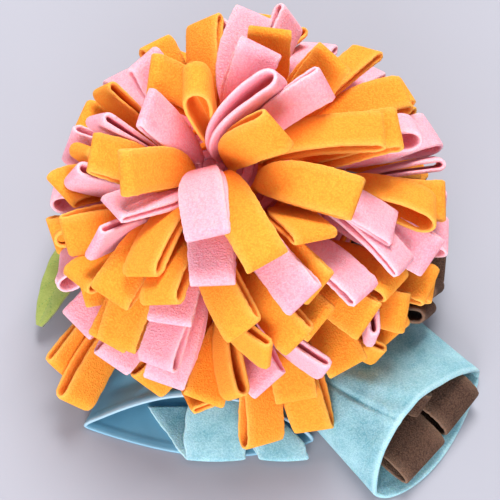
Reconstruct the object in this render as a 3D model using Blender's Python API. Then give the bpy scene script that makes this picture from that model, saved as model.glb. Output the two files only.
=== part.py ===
"""A snuffle mat: a filled dome covered with folded fleece loops, with a nylon pocket, a fleece
sleeve full of brown loops, a row of brown loops at the side and a felt leaf.

All sizes are in millimetres, and build_mesh() turns them into Blender's metres. The origin is the
middle of the mat's foot, +Z is up and -Y is the front. Angles are in degrees: a polar angle runs
from the crown of the dome down, and an azimuth runs round it from +X.
"""
import math
import random

import bmesh
import bpy
import numpy as np
from mathutils.bvhtree import BVHTree

MM = 0.001
TOUCH_GAP = 0.3

# Filled dome
DOME_CENTRE = np.array((0.0, 0.0, 58.0))
DOME_RADIUS = 70.0
DOME_SIDES = 16
DOME_FOOT_RADIUS = 76.0
CROWN_LEAN = np.array((-0.28, -0.12))

# Base cloth
PANEL_RADIUS = 84.0
PANEL_THICKNESS = 2.0
PANEL_SIDES = 40

# Rows of loops: each ring of the dome carries a pink tape and, below it, an orange one
RING_STEP = 13.0
FIRST_RING = 9.0
TAPE_OFFSET = 3.0
TAPE_WIDTH = 5.0
TAPE_TOP = 2.3
ROOT_HEIGHT = 1.0

# Fleece strips
FLEECE = 2.5
STRIP_WIDTH = 25.0
ROOT_WIDTH = 4.5
SEAM_ROOM = 0.3
SLIVER = 0.03
REACH = 129.0
FLAT_SIDE_AZIMUTH = 140.0
FLAT_SIDE_DEPTH = 13.0
HANG_AZIMUTH = -80.0
HANG_EXTRA = 12.0
BOW = 0.42
BOW_SPREAD = 0.22
# Plain loops lie on their neighbours: the share of a face that has to turn up and outwards
LEAST_UP = 0.5
CLEARANCE = 0.35

# The petals that give the flower its face, one table for each ring, from the crown down.
# Columns: colour, polar angle and azimuth of the tip, roll about its length, gape of the loop,
# swing of the root away from the tip's azimuth.
PETALS = (
    (
        ("pink", 33, -80, 0, 4, 0),
        ("orange", 40, -62, -12, 10, 0),
        ("orange", 23, -144, -65, 8, 0),
        ("pink", 12, 150, 10, 4, 0),
        ("orange", 12, 70, -75, 13, 0),
        ("pink", 18, 33, -35, 14, 0),
        ("orange", 24, -10, 65, 8, 0),
    ),
    (
        ("pink", 34, -134, -5, 5, 0),
        ("orange", 41, -118, -24, 9, 0),
        ("pink", 45, -79, 20, 5, 0),
        ("orange", 45, -24, 0, 5, 0),
        ("orange", 47, 2, -8, 5, 0),
        ("pink", 33, 17, 62, 4, 0),
        ("pink", 28, 46, 42, 8, 0),
        ("orange", 20, 118, -50, 6, -30),
    ),
    (
        ("orange", 59, -127, -5, 8, 0),
        ("orange", 54, -106, 25, 8, 0),
        ("orange", 58, -79, 22, 6, -15),
        ("pink", 57, -62, 15, 5, -8),
        ("orange", 51, -58, 38, 5, -4),
        ("orange", 50, -42, 5, 5, 0),
        ("pink", 49, -29, 5, 4, 0),
        ("orange", 41, 30, 42, 4, 0),
        ("orange", 35, 53, 28, 5, 0),
        ("pink", 56, 50, 0, 4, 0),
        ("orange", 51, 90, -20, 6, 0),
        ("pink", 34, 118, 33, 6, 0),
        ("pink", 36, 160, 80, 6, 0),
    ),
    (
        ("pink", 46, -171, -34, 8, 0),
        ("pink", 53, -137, 24, 5, 0),
        ("pink", 59, -119, 26, 8, 0),
        ("orange", 75, -118, -33, 10, 0),
        ("pink", 61, -103, 35, 8, 0),
        ("orange", 66, -66, 15, 5, -8),
        ("pink", 63, -44, -35, 5, 0),
        ("pink", 61, -23, 0, 4, 0),
        ("pink", 58, 8, -23, 12, 0),
        ("orange", 61, 40, -37, 4, 0),
        ("pink", 55, 63, 60, 6, 0),
        ("orange", 53, 74, 30, 5, 0),
        ("pink", 53, 86, -60, 14, 0),
        ("orange", 52, 111, -10, 6, 0),
        ("orange", 50, 140, -80, 6, 0),
        ("orange", 47, 177, 40, 8, 0),
    ),
    (
        ("orange", 68, -141, -20, 6, 0),
        ("orange", 79, -132, -30, 6, 0),
        ("pink", 80, -110, 25, 9, 0),
        ("orange", 69, -78, 26, 5, -20),
        ("orange", 71, -48, 0, 5, 0),
        ("orange", 68, -37, -28, 8, 0),
        ("orange", 73, -5, -8, 4, 0),
        ("orange", 66, 27, 18, 4, 0),
        ("orange", 62, 152, 12, 8, 0),
        ("pink", 62, 165, -10, 8, 0),
        ("orange", 72, -160, 32, 8, 0),
    ),
    (
        ("pink", 81, -65, 34, 5, -16),
        ("pink", 78, -50, -28, 5, 20),
        ("pink", 75, 8, -37, 6, 0),
        ("pink", 78, 179, 5, 14, 0),
    ),
    (
        ("pink", 93, -143, -30, 6, 0),
        ("pink", 91, -127, -24, 8, 0),
        ("orange", 97, -46, 30, 5, -12),
    ),
    (
        ("orange", 103, -138, 10, 8, 0),
        ("orange", 103, -130, -10, 8, 0),
        ("orange", 96, -38, -36, 12, 0),
        ("orange", 93, -27, 40, 6, 0),
    ),
)
# Long loops that hang in front of the pocket. Columns: ring, colour, azimuth of the root, then
# x, y and z of the tip, roll, gape
HANGERS = (
    (6, "orange", -84, 12.0, -138.0, 20.0, -18, 12),
    (6, "orange", -68, 44.0, -130.0, 22.0, 16, 8),
    (7, "orange", -139, -103.0, -113.0, 21.0, 35, 9),
    (7, "orange", -149, -112.0, -95.0, 30.0, 20, 6),
)
# Plain petals that fill each ring. Columns: how many petals the ring has with those above,
# polar angle of a plain tip.
FILL = (
    (7, 29),
    (12, 43),
    (18, 55),
    (23, 66),
    (28, 77),
    (30, 88),
    (30, 98),
    (28, 107),
)
OVER_POCKETS_POLAR = 90.0
SEED = 58
TRIES = 220

# Nylon pocket, on the floor at the front left: azimuths of its back edge, which follows the
# base cloth, then the front corners of its mouth
POCKET_BACK = (-145.0, -86.5)
POCKET_LEFT = (-98.0, -120.0)
POCKET_RIGHT = (44.0, -129.0)
POCKET_LIP = 14.0
POCKET_HEM = -13.0
POCKET_FOLD = 5.0
POCKET_RISE = (22.0, 25.0)
NYLON = 1.6

# Fleece sleeve at the front right
SLEEVE_BACK = (-81.0, -12.0)
SLEEVE_LEFT = (78.7, -164.6)
SLEEVE_RIGHT = (150.0, -85.0)
SLEEVE_LIP = 16.0
SLEEVE_HEM = -11.0
SLEEVE_FOLD = 9.0
SLEEVE_RISE = (16.0, 40.0)

# Brown loops in the sleeve, placed from the middle of its mouth. Columns: place across the
# mouth, how far out the tip is, height of the tip, roll, gape, strip width, root width, bow
SLEEVE_LOOPS = (
    (-19.0, 12.0, 11.0, 0, 12, 37.0, 20.0, 0.3),
    (20.0, 10.0, 13.0, 0, 13, 36.0, 20.0, 0.3),
    (1.0, -8.0, 31.0, 70, 7, 18.0, 4.5, 0.6),
)
SLEEVE_TAPE = (-52.0, -44.0)
SLEEVE_TAPE_HALF = 36.0

# Light blue strips that lie in the pocket, folded over its lip. Columns: x, y, z and
# half width
STRIP_PATHS = (
    (
        "pocket_strip_left",
        (
            (-20.0, -94.0, 9.0, 14.0),
            (-18.5, -101.0, 17.0, 15.0),
            (-17.0, -111.0, 20.0, 16.5),
            (-17.0, -121.0, 17.5, 17.5),
            (-16.5, -131.0, 12.0, 18.5),
            (-16.0, -140.0, 6.5, 18.5),
            (-16.5, -142.5, 3.6, 18.5),
            (-21.0, -136.5, 3.4, 18.0),
            (-31.0, -125.0, 3.2, 16.0),
            (-46.0, -108.0, 3.2, 14.0),
        ),
    ),
    (
        "pocket_strip_right",
        (
            (4.0, -108.0, 5.5, 10.0),
            (7.0, -113.0, 9.5, 11.0),
            (11.0, -119.0, 11.5, 12.5),
            (16.0, -126.0, 11.5, 14.0),
            (21.5, -133.0, 9.5, 15.0),
            (24.5, -139.5, 6.5, 15.5),
            (25.5, -142.5, 3.8, 15.5),
            (22.5, -136.0, 3.2, 15.0),
            (15.0, -125.0, 3.2, 13.0),
            (9.0, -114.0, 3.2, 11.0),
        ),
    ),
)

# Brown loops low on the right side, rooted on the skirt of the dome. Columns: azimuth of the
# root and of the tip, height of the tip, roll, gape
SIDE_TAPE = (-45.0, 33.75)
SIDE_TAPE_SHARE = 0.42
SIDE_REACH = 131.0
SIDE_LOOPS = (
    (-32, -28, 42, 20, 8),
    (-21, -19, 36, -50, 9),
    (-10, -10, 33, 35, 8),
    (2, 3, 30, 10, 9),
    (13, 13, 34, -30, 8),
    (25, 25, 31, 40, 9),
)

# Felt leaf at the left. Columns: x, y, z of its middle line, half width
LEAF_THICKNESS = 3.2
LEAF_CREASE = 1.6
LEAF_FACE = np.array((-0.45, -0.45, 0.77))
LEAF_LINE = (
    (-75.0, 24.0, 6.0, 6.0),
    (-86.0, 20.0, 9.0, 9.0),
    (-98.0, 10.0, 18.0, 12.5),
    (-107.0, -6.0, 24.0, 14.0),
    (-115.0, -22.0, 24.0, 13.0),
    (-122.0, -37.0, 20.5, 10.0),
    (-127.5, -49.0, 15.5, 6.0),
    (-130.5, -56.0, 12.0, 2.2),
)


def unit(vector):
    return vector / np.linalg.norm(vector)


def units(vectors):
    return vectors / np.linalg.norm(vectors, axis=1)[:, None]


def round_point(radius, azimuth, height=0.0):
    a = math.radians(azimuth)
    return np.array((radius * math.cos(a), radius * math.sin(a), height))


def aim(polar, azimuth):
    """Direction from the dome's centre, with the crown leaning to CROWN_LEAN."""
    p = math.radians(polar)
    a = math.radians(azimuth)
    lean = CROWN_LEAN * max(0.0, math.cos(p))
    x = math.sin(p) * math.cos(a) + lean[0]
    y = math.sin(p) * math.sin(a) + lean[1]
    return unit(np.array((x, y, math.cos(p))))


def dome_corners():
    """Rings of the dome's corners: ring i of petals sits between rings i and i + 1."""
    step = 360.0 / DOME_SIDES
    rings = []
    for edge in range(len(PETALS) + 1):
        polar = FIRST_RING + RING_STEP * (edge - 0.5)
        rings.append([DOME_CENTRE + DOME_RADIUS * aim(polar, step * i) for i in range(DOME_SIDES)])
    floor = PANEL_THICKNESS + TOUCH_GAP
    rings.append([round_point(DOME_FOOT_RADIUS, step * i, floor) for i in range(DOME_SIDES)])
    return np.array(rings)


CORNERS = dome_corners()
SKIRT = len(PETALS)


def on_dome(ring, down, azimuth):
    """Point and outward normal on a dome facet, at the share down from its upper edge."""
    place = (azimuth % 360.0) / (360.0 / DOME_SIDES)
    i = int(place) % DOME_SIDES
    j = (i + 1) % DOME_SIDES
    across = place - int(place)
    top = CORNERS[ring][i] * (1 - across) + CORNERS[ring][j] * across
    bottom = CORNERS[ring + 1][i] * (1 - across) + CORNERS[ring + 1][j] * across
    normal = unit(np.cross(bottom - top, CORNERS[ring][j] - CORNERS[ring][i]))
    point = top * (1 - down) + bottom * down
    if normal @ (point - DOME_CENTRE) < 0:
        normal = -normal
    return point, normal


def grid_faces(rows, columns, closed_rows=False, closed_columns=False):
    """Quads over a grid of points counted row by row."""
    faces = []
    for r in range(rows if closed_rows else rows - 1):
        for c in range(columns if closed_columns else columns - 1):
            r2 = (r + 1) % rows
            c2 = (c + 1) % columns
            faces.append((r * columns + c, r * columns + c2, r2 * columns + c2, r2 * columns + c))
    return faces


def ribbon_mesh(middle, widths, halves, thick, start, end):
    """A strip of cloth: a flat rectangle carried along its middle line.

    widths are the directions across the strip, halves its half widths, and start and end the
    directions in which its two ends run.
    """
    steps = units(np.diff(middle, axis=0))
    before = np.vstack((start, steps))
    after = np.vstack((steps, end))
    runs = units(before + after)
    runs[0] = start
    runs[-1] = end
    outs = units(np.cross(widths, runs))
    cosine = np.clip(np.einsum("ij,ij->i", before, runs), 0.7, 1.0)
    cosine[0] = 1.0
    cosine[-1] = 1.0
    wide = widths * halves[:, None]
    high = outs * (thick / cosine)[:, None]
    sections = np.stack((middle - wide - high, middle + wide - high,
                         middle + wide + high, middle - wide + high), axis=1)
    count = len(middle)
    faces = grid_faces(count, 4, closed_columns=True)
    last = 4 * (count - 1)
    faces.append((3, 2, 1, 0))
    faces.append((last, last + 1, last + 2, last + 3))
    return sections.reshape(-1, 3), faces


def leg_stops(gape):
    """Where a loop's two legs pass. Columns: t, distance from the middle line, share of width."""
    seam = 0.5 * FLEECE + SEAM_ROOM
    half = max(seam, 0.5 * gape)
    stops = (
        (0.0, seam, 0.0),
        (0.5, seam + 0.5 * (half - seam), 0.72),
        (1.0, max(seam, 0.7 * half), 1.0),
    )
    back = [(t, -gap, share) for t, gap, share in reversed(stops)]
    return np.array(list(stops) + back)


def knee_of(petal):
    """The point on the root's normal that a petal bows towards."""
    length = np.linalg.norm(petal["tip"] - petal["root"])
    return petal["root"] + petal["normal"] * (petal["bow"] * length)


def width_of(petal):
    """Direction of a petal's width: round the dome, square to the chord, turned by the roll."""
    chord = unit(petal["tip"] - petal["root"])
    across = np.cross(chord, petal["normal"])
    if np.linalg.norm(across) < 0.12:
        across = petal["side"] - (petal["side"] @ chord) * chord
    across = unit(across)
    if across @ petal["side"] < 0:
        across = -across
    angle = math.radians(petal["roll"])
    return across * math.cos(angle) + np.cross(chord, across) * math.sin(angle)


def turned_up(petal):
    """How far a petal's face turns up and outwards: 0 where it stands on edge, 1 where flat."""
    knee = knee_of(petal)
    along = unit(0.3 * (knee - petal["root"]) + 0.7 * (petal["tip"] - knee))
    out = unit((petal["tip"] - DOME_CENTRE)[:2])
    return abs(unit(np.cross(width_of(petal), along)) @ np.array((0.5 * out[0], 0.5 * out[1], 0.866)))


def petal_mesh(petal, grow=0.0):
    """A folded strip: it leaves its root along the normal and bows over to its tip.

    The middle line is a quadratic curve from the root, by a knee on the normal, to the tip. The
    two legs lie on either side of it, across the strip's width, and meet at the tip.
    """
    root, normal, tip = petal["root"], petal["normal"], petal["tip"]
    knee = knee_of(petal)
    rolled = width_of(petal)
    stops = leg_stops(petal["gape"])
    t = stops[:, :1]
    line = root * (1 - t) ** 2 + knee * (2 * t * (1 - t)) + tip * t ** 2
    along = units((knee - root) * (1 - t) + (tip - knee) * t)
    widths = units(rolled - along * (along @ rolled)[:, None])
    middle = line + np.cross(widths, along) * stops[:, 1:2]
    slim = petal["root_width"]
    halves = 0.5 * (slim + (petal["width"] - slim) * stops[:, 2]) + grow
    return ribbon_mesh(middle, widths, halves, 0.5 * FLEECE + grow, normal, -normal)


def tree(points, faces):
    return BVHTree.FromPolygons(points.tolist(), faces)


def as_neighbour(points, faces):
    middle = points.mean(axis=0)
    size = np.linalg.norm(points - middle, axis=1).max()
    return middle, size, tree(points, faces)


def is_clear(petal, neighbours):
    """True if the petal keeps CLEARANCE to every neighbour and stays off the base cloth."""
    points, faces = petal_mesh(petal, CLEARANCE)
    if points[:, 2].min() < PANEL_THICKNESS + TOUCH_GAP:
        return False
    middle, size, bvh = as_neighbour(points, faces)
    for centre, reach, other in neighbours:
        if np.linalg.norm(middle - centre) < reach + size and bvh.overlap(other):
            return False
    return True


def tip_at(polar, azimuth, short):
    """Where a tip ends: flatter at the back left, longer where loops hang in front."""
    sine = math.sin(math.radians(polar))
    flat = max(0.0, math.cos(math.radians(azimuth - FLAT_SIDE_AZIMUTH)))
    reach = REACH - FLAT_SIDE_DEPTH * flat * sine
    if polar > 100.0:
        reach += HANG_EXTRA * max(0.0, math.cos(math.radians(2.0 * (azimuth - HANG_AZIMUTH))))
    return DOME_CENTRE + (reach - 0.5 * FLEECE - short) * aim(polar, azimuth)


def flat_side(normal, azimuth):
    """Direction round the dome, square to the normal."""
    side = round_point(1.0, azimuth + 90.0)
    return unit(side - (side @ normal) * normal)


def row_share(colour):
    """How far down its facet a row's tape lies."""
    return 0.5 + (-TAPE_OFFSET if colour == "pink" else TAPE_OFFSET) / RING_STEP


def make_petal(ring, colour, root_azimuth, tip, roll, gape):
    foot, normal = on_dome(ring, row_share(colour), root_azimuth)
    return {
        "ring": ring,
        "colour": colour,
        "root": foot + normal * ROOT_HEIGHT,
        "normal": normal,
        "side": flat_side(normal, root_azimuth),
        "tip": tip,
        "roll": roll,
        "gape": gape,
        "bow": BOW,
        "width": STRIP_WIDTH,
        "root_width": ROOT_WIDTH,
    }


def plain_polar(ring, azimuth):
    """Polar angle of a plain tip: over the pockets and the brown row the loops lie higher."""
    polar = FILL[ring][1]
    if -150.0 < (azimuth + 180.0) % 360.0 - 180.0 < 38.0:
        polar = min(polar, OVER_POCKETS_POLAR)
    return polar


def plan_ring(ring, dice):
    """The wishes of one ring: its charted petals, then plain ones in the widest gaps."""
    wishes = []
    for colour, polar, azimuth, roll, gape, swing in PETALS[ring]:
        wishes.append((colour, (azimuth + swing) % 360.0, polar, azimuth, roll, gape))
    charted = len(wishes)
    while len(wishes) < FILL[ring][0]:
        taken = sorted((wish[1], wish[0]) for wish in wishes)
        gaps = [(taken[(i + 1) % len(taken)][0] - taken[i][0]) % 360.0 for i in range(len(taken))]
        widest = gaps.index(max(gaps))
        azimuth = (taken[widest][0] + 0.5 * gaps[widest]) % 360.0
        colour = "pink" if taken[widest][1] == "orange" else "orange"
        if dice.random() < 0.2:
            colour = taken[widest][1]
        polar = plain_polar(ring, azimuth) + dice.uniform(-7, 4)
        roll = dice.uniform(-40, 40)
        gape = dice.choice((5, 6, 8, 10, 13))
        wishes.append((colour, azimuth, polar, azimuth + dice.uniform(-9, 9), roll, gape))
    return wishes[:charted], wishes[charted:]


def row_tape(ring, colour):
    azimuths = [i * 360.0 / DOME_SIDES for i in range(DOME_SIDES)]
    return tape_mesh(ring, row_share(colour), azimuths, True)


def fit_petals(obstacles):
    """Places every petal clear of those before it, shifting it a little further at each try."""
    dice = random.Random(SEED)
    neighbours = list(obstacles)
    rows = [(ring, colour) for ring in range(len(PETALS)) for colour in ("pink", "orange")]
    ring_tapes = {row: as_neighbour(*row_tape(*row)) for row in rows}
    petals = []
    for ring, colour, root_azimuth, x, y, z, roll, gape in HANGERS:
        petal = make_petal(ring, colour, root_azimuth, np.array((x, y, z)), roll, gape)
        petals.append(petal)
        neighbours.append(as_neighbour(*petal_mesh(petal)))
    plans = [plan_ring(ring, dice) for ring in range(len(PETALS))]
    order = [(ring, wish, True) for ring in range(len(PETALS)) for wish in plans[ring][0]]
    order += [(ring, wish, False) for ring in range(len(PETALS)) for wish in plans[ring][1]]
    for ring, (colour, root_azimuth, polar, azimuth, roll, gape), charted in order:
        tapes = [shape for (place, name), shape in ring_tapes.items() if (place, name) != (ring, colour)]
        for attempt in range(TRIES):
            loose = attempt / TRIES
            tip = tip_at(polar + loose * dice.uniform(-16, 16), azimuth + loose * dice.uniform(-18, 18),
                         loose * dice.uniform(0, 14))
            root_place = root_azimuth + loose * dice.uniform(-14, 14)
            rolled = roll + loose * dice.uniform(-60, 60)
            petal = make_petal(ring, colour, root_place, tip, rolled, gape * (1 - 0.5 * loose))
            petal["bow"] = BOW + loose * dice.uniform(-BOW_SPREAD, BOW_SPREAD)
            if not charted and turned_up(petal) < LEAST_UP:
                continue
            if is_clear(petal, neighbours + tapes):
                petals.append(petal)
                neighbours.append(as_neighbour(*petal_mesh(petal)))
                break
    return petals


def material(name, colour, roughness):
    made = bpy.data.materials.new(name)
    made.use_nodes = True
    shader = made.node_tree.nodes["Principled BSDF"]
    shader.inputs["Base Color"].default_value = (*colour, 1.0)
    shader.inputs["Roughness"].default_value = roughness
    shader.inputs["Metallic"].default_value = 0.0
    return made


def build_mesh(name, shape, finish):
    """An object from points in millimetres and faces, in triangles turned outwards."""
    points, faces = shape
    mesh = bpy.data.meshes.new(name)
    mesh.from_pydata((MM * np.asarray(points)).tolist(), [], faces)
    work = bmesh.new()
    work.from_mesh(mesh)
    bmesh.ops.triangulate(work, faces=work.faces[:])
    bmesh.ops.recalc_face_normals(work, faces=work.faces[:])
    work.to_mesh(mesh)
    work.free()
    mesh.materials.append(finish)
    thing = bpy.data.objects.new(name, mesh)
    bpy.context.collection.objects.link(thing)
    return thing


def join_shapes(shapes):
    points = []
    faces = []
    for shape_points, shape_faces in shapes:
        start = len(points)
        points.extend(shape_points)
        faces.extend(tuple(start + i for i in face) for face in shape_faces)
    return np.array(points), faces


def fuse(name, backing, strands, finish):
    """One solid: the backing with every strand's root fused into it."""
    base = build_mesh(name, backing, finish)
    tool = build_mesh(name + "_strands", join_shapes(strands), finish)
    joint = base.modifiers.new("fuse roots", "BOOLEAN")
    joint.operation = "UNION"
    joint.solver = "EXACT"
    joint.object = tool
    tool.hide_render = True
    tool.display_type = "WIRE"
    slivers = base.modifiers.new("merge slivers", "WELD")
    slivers.merge_threshold = SLIVER * MM
    return base


def tape_mesh(ring, down, azimuths, closed):
    """A flat tape on the dome: a rectangle carried round the ring's facets."""
    high = np.linalg.norm(CORNERS[ring + 1][0] - CORNERS[ring][0])
    half = 0.5 * TAPE_WIDTH / high
    points = []
    for azimuth in azimuths:
        upper = on_dome(ring, down - half, azimuth)[0]
        lower = on_dome(ring, down + half, azimuth)[0]
        out = unit(np.cross(lower - upper, round_point(1.0, azimuth + 90.0)))
        points.append(upper + out * TOUCH_GAP)
        points.append(lower + out * TOUCH_GAP)
        points.append(lower + out * TAPE_TOP)
        points.append(upper + out * TAPE_TOP)
    faces = grid_faces(len(azimuths), 4, closed_rows=closed, closed_columns=True)
    if not closed:
        last = len(points) - 4
        faces.append((3, 2, 1, 0))
        faces.append((last, last + 1, last + 2, last + 3))
    return np.array(points), faces


def dome_mesh():
    """The dome: each facet is split along its lower diagonal, so that no tape cuts into it."""
    points = CORNERS.reshape(-1, 3)
    faces = [tuple(range(DOME_SIDES))]
    for a, b, c, d in grid_faces(len(CORNERS), DOME_SIDES, closed_columns=True):
        first = np.linalg.norm(0.5 * (points[a] + points[c]) - DOME_CENTRE)
        second = np.linalg.norm(0.5 * (points[b] + points[d]) - DOME_CENTRE)
        if first < second:
            faces += [(a, b, c), (a, c, d)]
        else:
            faces += [(a, b, d), (b, c, d)]
    last = DOME_SIDES * (len(CORNERS) - 1)
    faces.append(tuple(range(last + DOME_SIDES - 1, last - 1, -1)))
    return points, faces


def disc_mesh(radius, low, high, sides):
    step = 360.0 / sides
    points = [round_point(radius, step * i, z) for z in (low, high) for i in range(sides)]
    faces = grid_faces(2, sides, closed_columns=True)
    faces.append(tuple(range(sides)))
    faces.append(tuple(range(2 * sides - 1, sides - 1, -1)))
    return np.array(points), faces


def pouch_mesh(back, left, right, lip, hem, fold, rise, peak, thick, columns, rows):
    """A flat pocket on the floor: closed at the back, open in front.

    back holds the azimuths of the back edge. Both front edges run from left to right, and bulge
    forward by lip below and by hem above. The upper wall stands fold high at its side folds,
    and rises further by rise, first at the back and then at the mouth, highest at the share
    peak of the width.
    """
    left = np.array((*left, 0.0))
    right = np.array((*right, 0.0))
    chord = unit(right - left)
    forward = np.array((chord[1], -chord[0], 0.0))
    width = np.linalg.norm(right - left)
    radius = PANEL_RADIUS + TOUCH_GAP

    def hump(u):
        return max(0.0, math.sin(math.pi * u ** (math.log(0.5) / math.log(peak)))) ** 0.8

    def wall(u, v, bulge, height):
        start = round_point(radius, back[0] + (back[1] - back[0]) * u)
        end = left + (right - left) * u + forward * bulge * hump(u)
        point = start + (end - start) * v
        point[2] = height
        return point

    def top(u, v):
        return fold + (rise[0] + (rise[1] - rise[0]) * v) * hump(u)

    inset = thick / width
    depth = thick / 50.0
    us = [i / (columns - 1) for i in range(columns)]
    vs = [i / (rows - 1) for i in range(rows)]
    inner_us = [inset + (1 - 2 * inset) * u for u in us]
    inner_vs = [depth + (1 - depth) * v for v in vs]
    sheets = (
        [wall(u, v, lip, 0.0) for v in vs for u in us],
        [wall(u, v, hem, top(u, v)) for v in vs for u in us],
        [wall(u, v, lip, thick) for v in inner_vs for u in inner_us],
        [wall(u, v, hem, top(u, v) - thick) for v in inner_vs for u in inner_us],
    )
    size = rows * columns
    faces = []
    for number in range(4):
        start = number * size
        faces += [tuple(start + i for i in face) for face in grid_faces(rows, columns)]
    for low, high in ((0, size), (2 * size, 3 * size)):
        for r in range(rows - 1):
            for c in (0, columns - 1):
                a = r * columns + c
                b = a + columns
                faces.append((low + a, low + b, high + b, high + a))
        for c in range(columns - 1):
            faces.append((low + c, low + c + 1, high + c + 1, high + c))
    front = (rows - 1) * columns
    for outer, inner in ((0, 2 * size), (size, 3 * size)):
        for c in range(columns - 1):
            a = front + c
            faces.append((outer + a, outer + a + 1, inner + a + 1, inner + a))
    for c in (0, columns - 1):
        a = front + c
        faces.append((a, size + a, 3 * size + a, 2 * size + a))
    return np.concatenate(sheets), faces


def pocket_shape():
    return pouch_mesh(POCKET_BACK, POCKET_LEFT, POCKET_RIGHT, POCKET_LIP, POCKET_HEM, POCKET_FOLD,
                      POCKET_RISE, 0.55, NYLON, 11, 4)


def sleeve_shape():
    return pouch_mesh(SLEEVE_BACK, SLEEVE_LEFT, SLEEVE_RIGHT, SLEEVE_LIP, SLEEVE_HEM, SLEEVE_FOLD,
                      SLEEVE_RISE, 0.38, FLEECE, 12, 5)


def strip_shape(path):
    """A wide strip folded over: its width lies along X."""
    middle = np.array(path)[:, :3]
    steps = np.diff(middle, axis=0)
    steps = np.vstack((steps, steps[-1:]))
    widths = np.tile(np.array((1.0, 0.0, 0.0)), (len(middle), 1))
    return ribbon_mesh(middle, widths, np.array(path)[:, 3], 0.5 * FLEECE, unit(steps[0]), unit(steps[-1]))


def sleeve_loops():
    """Backing strip on the sleeve's floor and the wide loops that stand on it."""
    left = np.array((*SLEEVE_LEFT, 0.0))
    right = np.array((*SLEEVE_RIGHT, 0.0))
    across = unit(right - left)
    out = np.array((across[1], -across[0], 0.0))
    mouth = 0.5 * (left + right)
    up = np.array((0.0, 0.0, 1.0))
    low = FLEECE + TOUCH_GAP
    high = low + FLEECE
    corners = []
    for z in (low, high):
        for far, side in ((0, -1), (0, 1), (1, 1), (1, -1)):
            corners.append(mouth + out * SLEEVE_TAPE[far] + across * side * SLEEVE_TAPE_HALF + up * z)
    faces = [(0, 1, 2, 3), (7, 6, 5, 4), (0, 1, 5, 4), (1, 2, 6, 5), (2, 3, 7, 6), (3, 0, 4, 7)]
    loops = []
    for place, far, height, roll, gape, width, root_width, bow in SLEEVE_LOOPS:
        root = mouth + out * (0.5 * sum(SLEEVE_TAPE)) + across * (0.9 * place) + up * (low + 1.0)
        loops.append({
            "root": root,
            "normal": up,
            "side": across,
            "tip": mouth + out * far + across * place + up * height,
            "roll": roll,
            "gape": gape,
            "bow": bow,
            "width": width,
            "root_width": root_width,
        })
    return (np.array(corners), faces), loops


def side_loops():
    step = 360.0 / DOME_SIDES
    count = int((SIDE_TAPE[1] - SIDE_TAPE[0]) / (0.5 * step)) + 1
    azimuths = np.linspace(SIDE_TAPE[0], SIDE_TAPE[1], count)
    loops = []
    for root_azimuth, azimuth, height, roll, gape in SIDE_LOOPS:
        foot, normal = on_dome(SKIRT, SIDE_TAPE_SHARE, root_azimuth)
        loops.append({
            "root": foot + normal * ROOT_HEIGHT,
            "normal": normal,
            "side": flat_side(normal, root_azimuth),
            "tip": round_point(SIDE_REACH, azimuth, height),
            "roll": roll,
            "gape": gape,
            "bow": BOW,
            "width": STRIP_WIDTH,
            "root_width": ROOT_WIDTH,
        })
    return tape_mesh(SKIRT, SIDE_TAPE_SHARE, azimuths, False), loops


def leaf_shape():
    """A felt leaf: a flat section with a crease, carried along its middle line."""
    line = np.array(LEAF_LINE)
    middle = line[:, :3]
    runs = units(np.gradient(middle, axis=0))
    face = unit(LEAF_FACE)
    widths = units(np.cross(runs, face))
    ups = units(np.cross(widths, runs))
    ups[ups @ face < 0] *= -1
    wide = widths * line[:, 3:]
    thick = 0.5 * LEAF_THICKNESS * ups
    crease = LEAF_CREASE * ups * np.minimum(1.0, line[:, 3:] / 8.0)
    sections = np.stack((middle - wide + thick, middle + thick - crease, middle + wide + thick,
                         middle + wide - thick, middle - thick - crease, middle - wide - thick), axis=1)
    count = len(line)
    faces = grid_faces(count, 6, closed_columns=True)
    last = 6 * (count - 1)
    for start in (0, last):
        faces.append((start, start + 1, start + 4, start + 5))
        faces.append((start + 1, start + 2, start + 3, start + 4))
    return sections.reshape(-1, 3), faces


def main():
    for thing in list(bpy.data.objects):
        bpy.data.objects.remove(thing)
    pink = material("pink fleece", (0.95, 0.42, 0.58), 0.95)
    orange = material("orange fleece", (1.0, 0.42, 0.05), 0.95)
    aqua = material("light blue fleece", (0.35, 0.68, 0.75), 0.95)
    nylon = material("satin nylon", (0.16, 0.42, 0.58), 0.45)
    brown = material("brown fleece", (0.17, 0.08, 0.05), 0.95)
    green = material("green felt", (0.36, 0.55, 0.13), 0.9)

    obstacles = []

    def keep(name, shape, finish):
        obstacles.append(as_neighbour(*shape))
        return build_mesh(name, shape, finish)

    keep("nylon_pocket", pocket_shape(), nylon)
    keep("fleece_sleeve", sleeve_shape(), aqua)
    for name, path in STRIP_PATHS:
        keep(name, strip_shape(path), aqua)
    keep("leaf", leaf_shape(), green)
    build_mesh("backing_panel", disc_mesh(PANEL_RADIUS, 0.0, PANEL_THICKNESS, PANEL_SIDES), nylon)
    keep("mound", dome_mesh(), pink)
    for name, (backing, loops) in (("sleeve_strips", sleeve_loops()), ("brown_row", side_loops())):
        strands = [petal_mesh(loop) for loop in loops]
        obstacles.extend(as_neighbour(*strand) for strand in strands)
        fuse(name, backing, strands, brown)

    petals = fit_petals(obstacles)
    print("petals", len(petals))
    finishes = {"pink": pink, "orange": orange}
    for ring in range(len(PETALS)):
        for colour in ("pink", "orange"):
            strands = [petal_mesh(p) for p in petals if p["ring"] == ring and p["colour"] == colour]
            fuse(f"{colour}_row_{ring + 1}", row_tape(ring, colour), strands, finishes[colour])


main()
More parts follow.
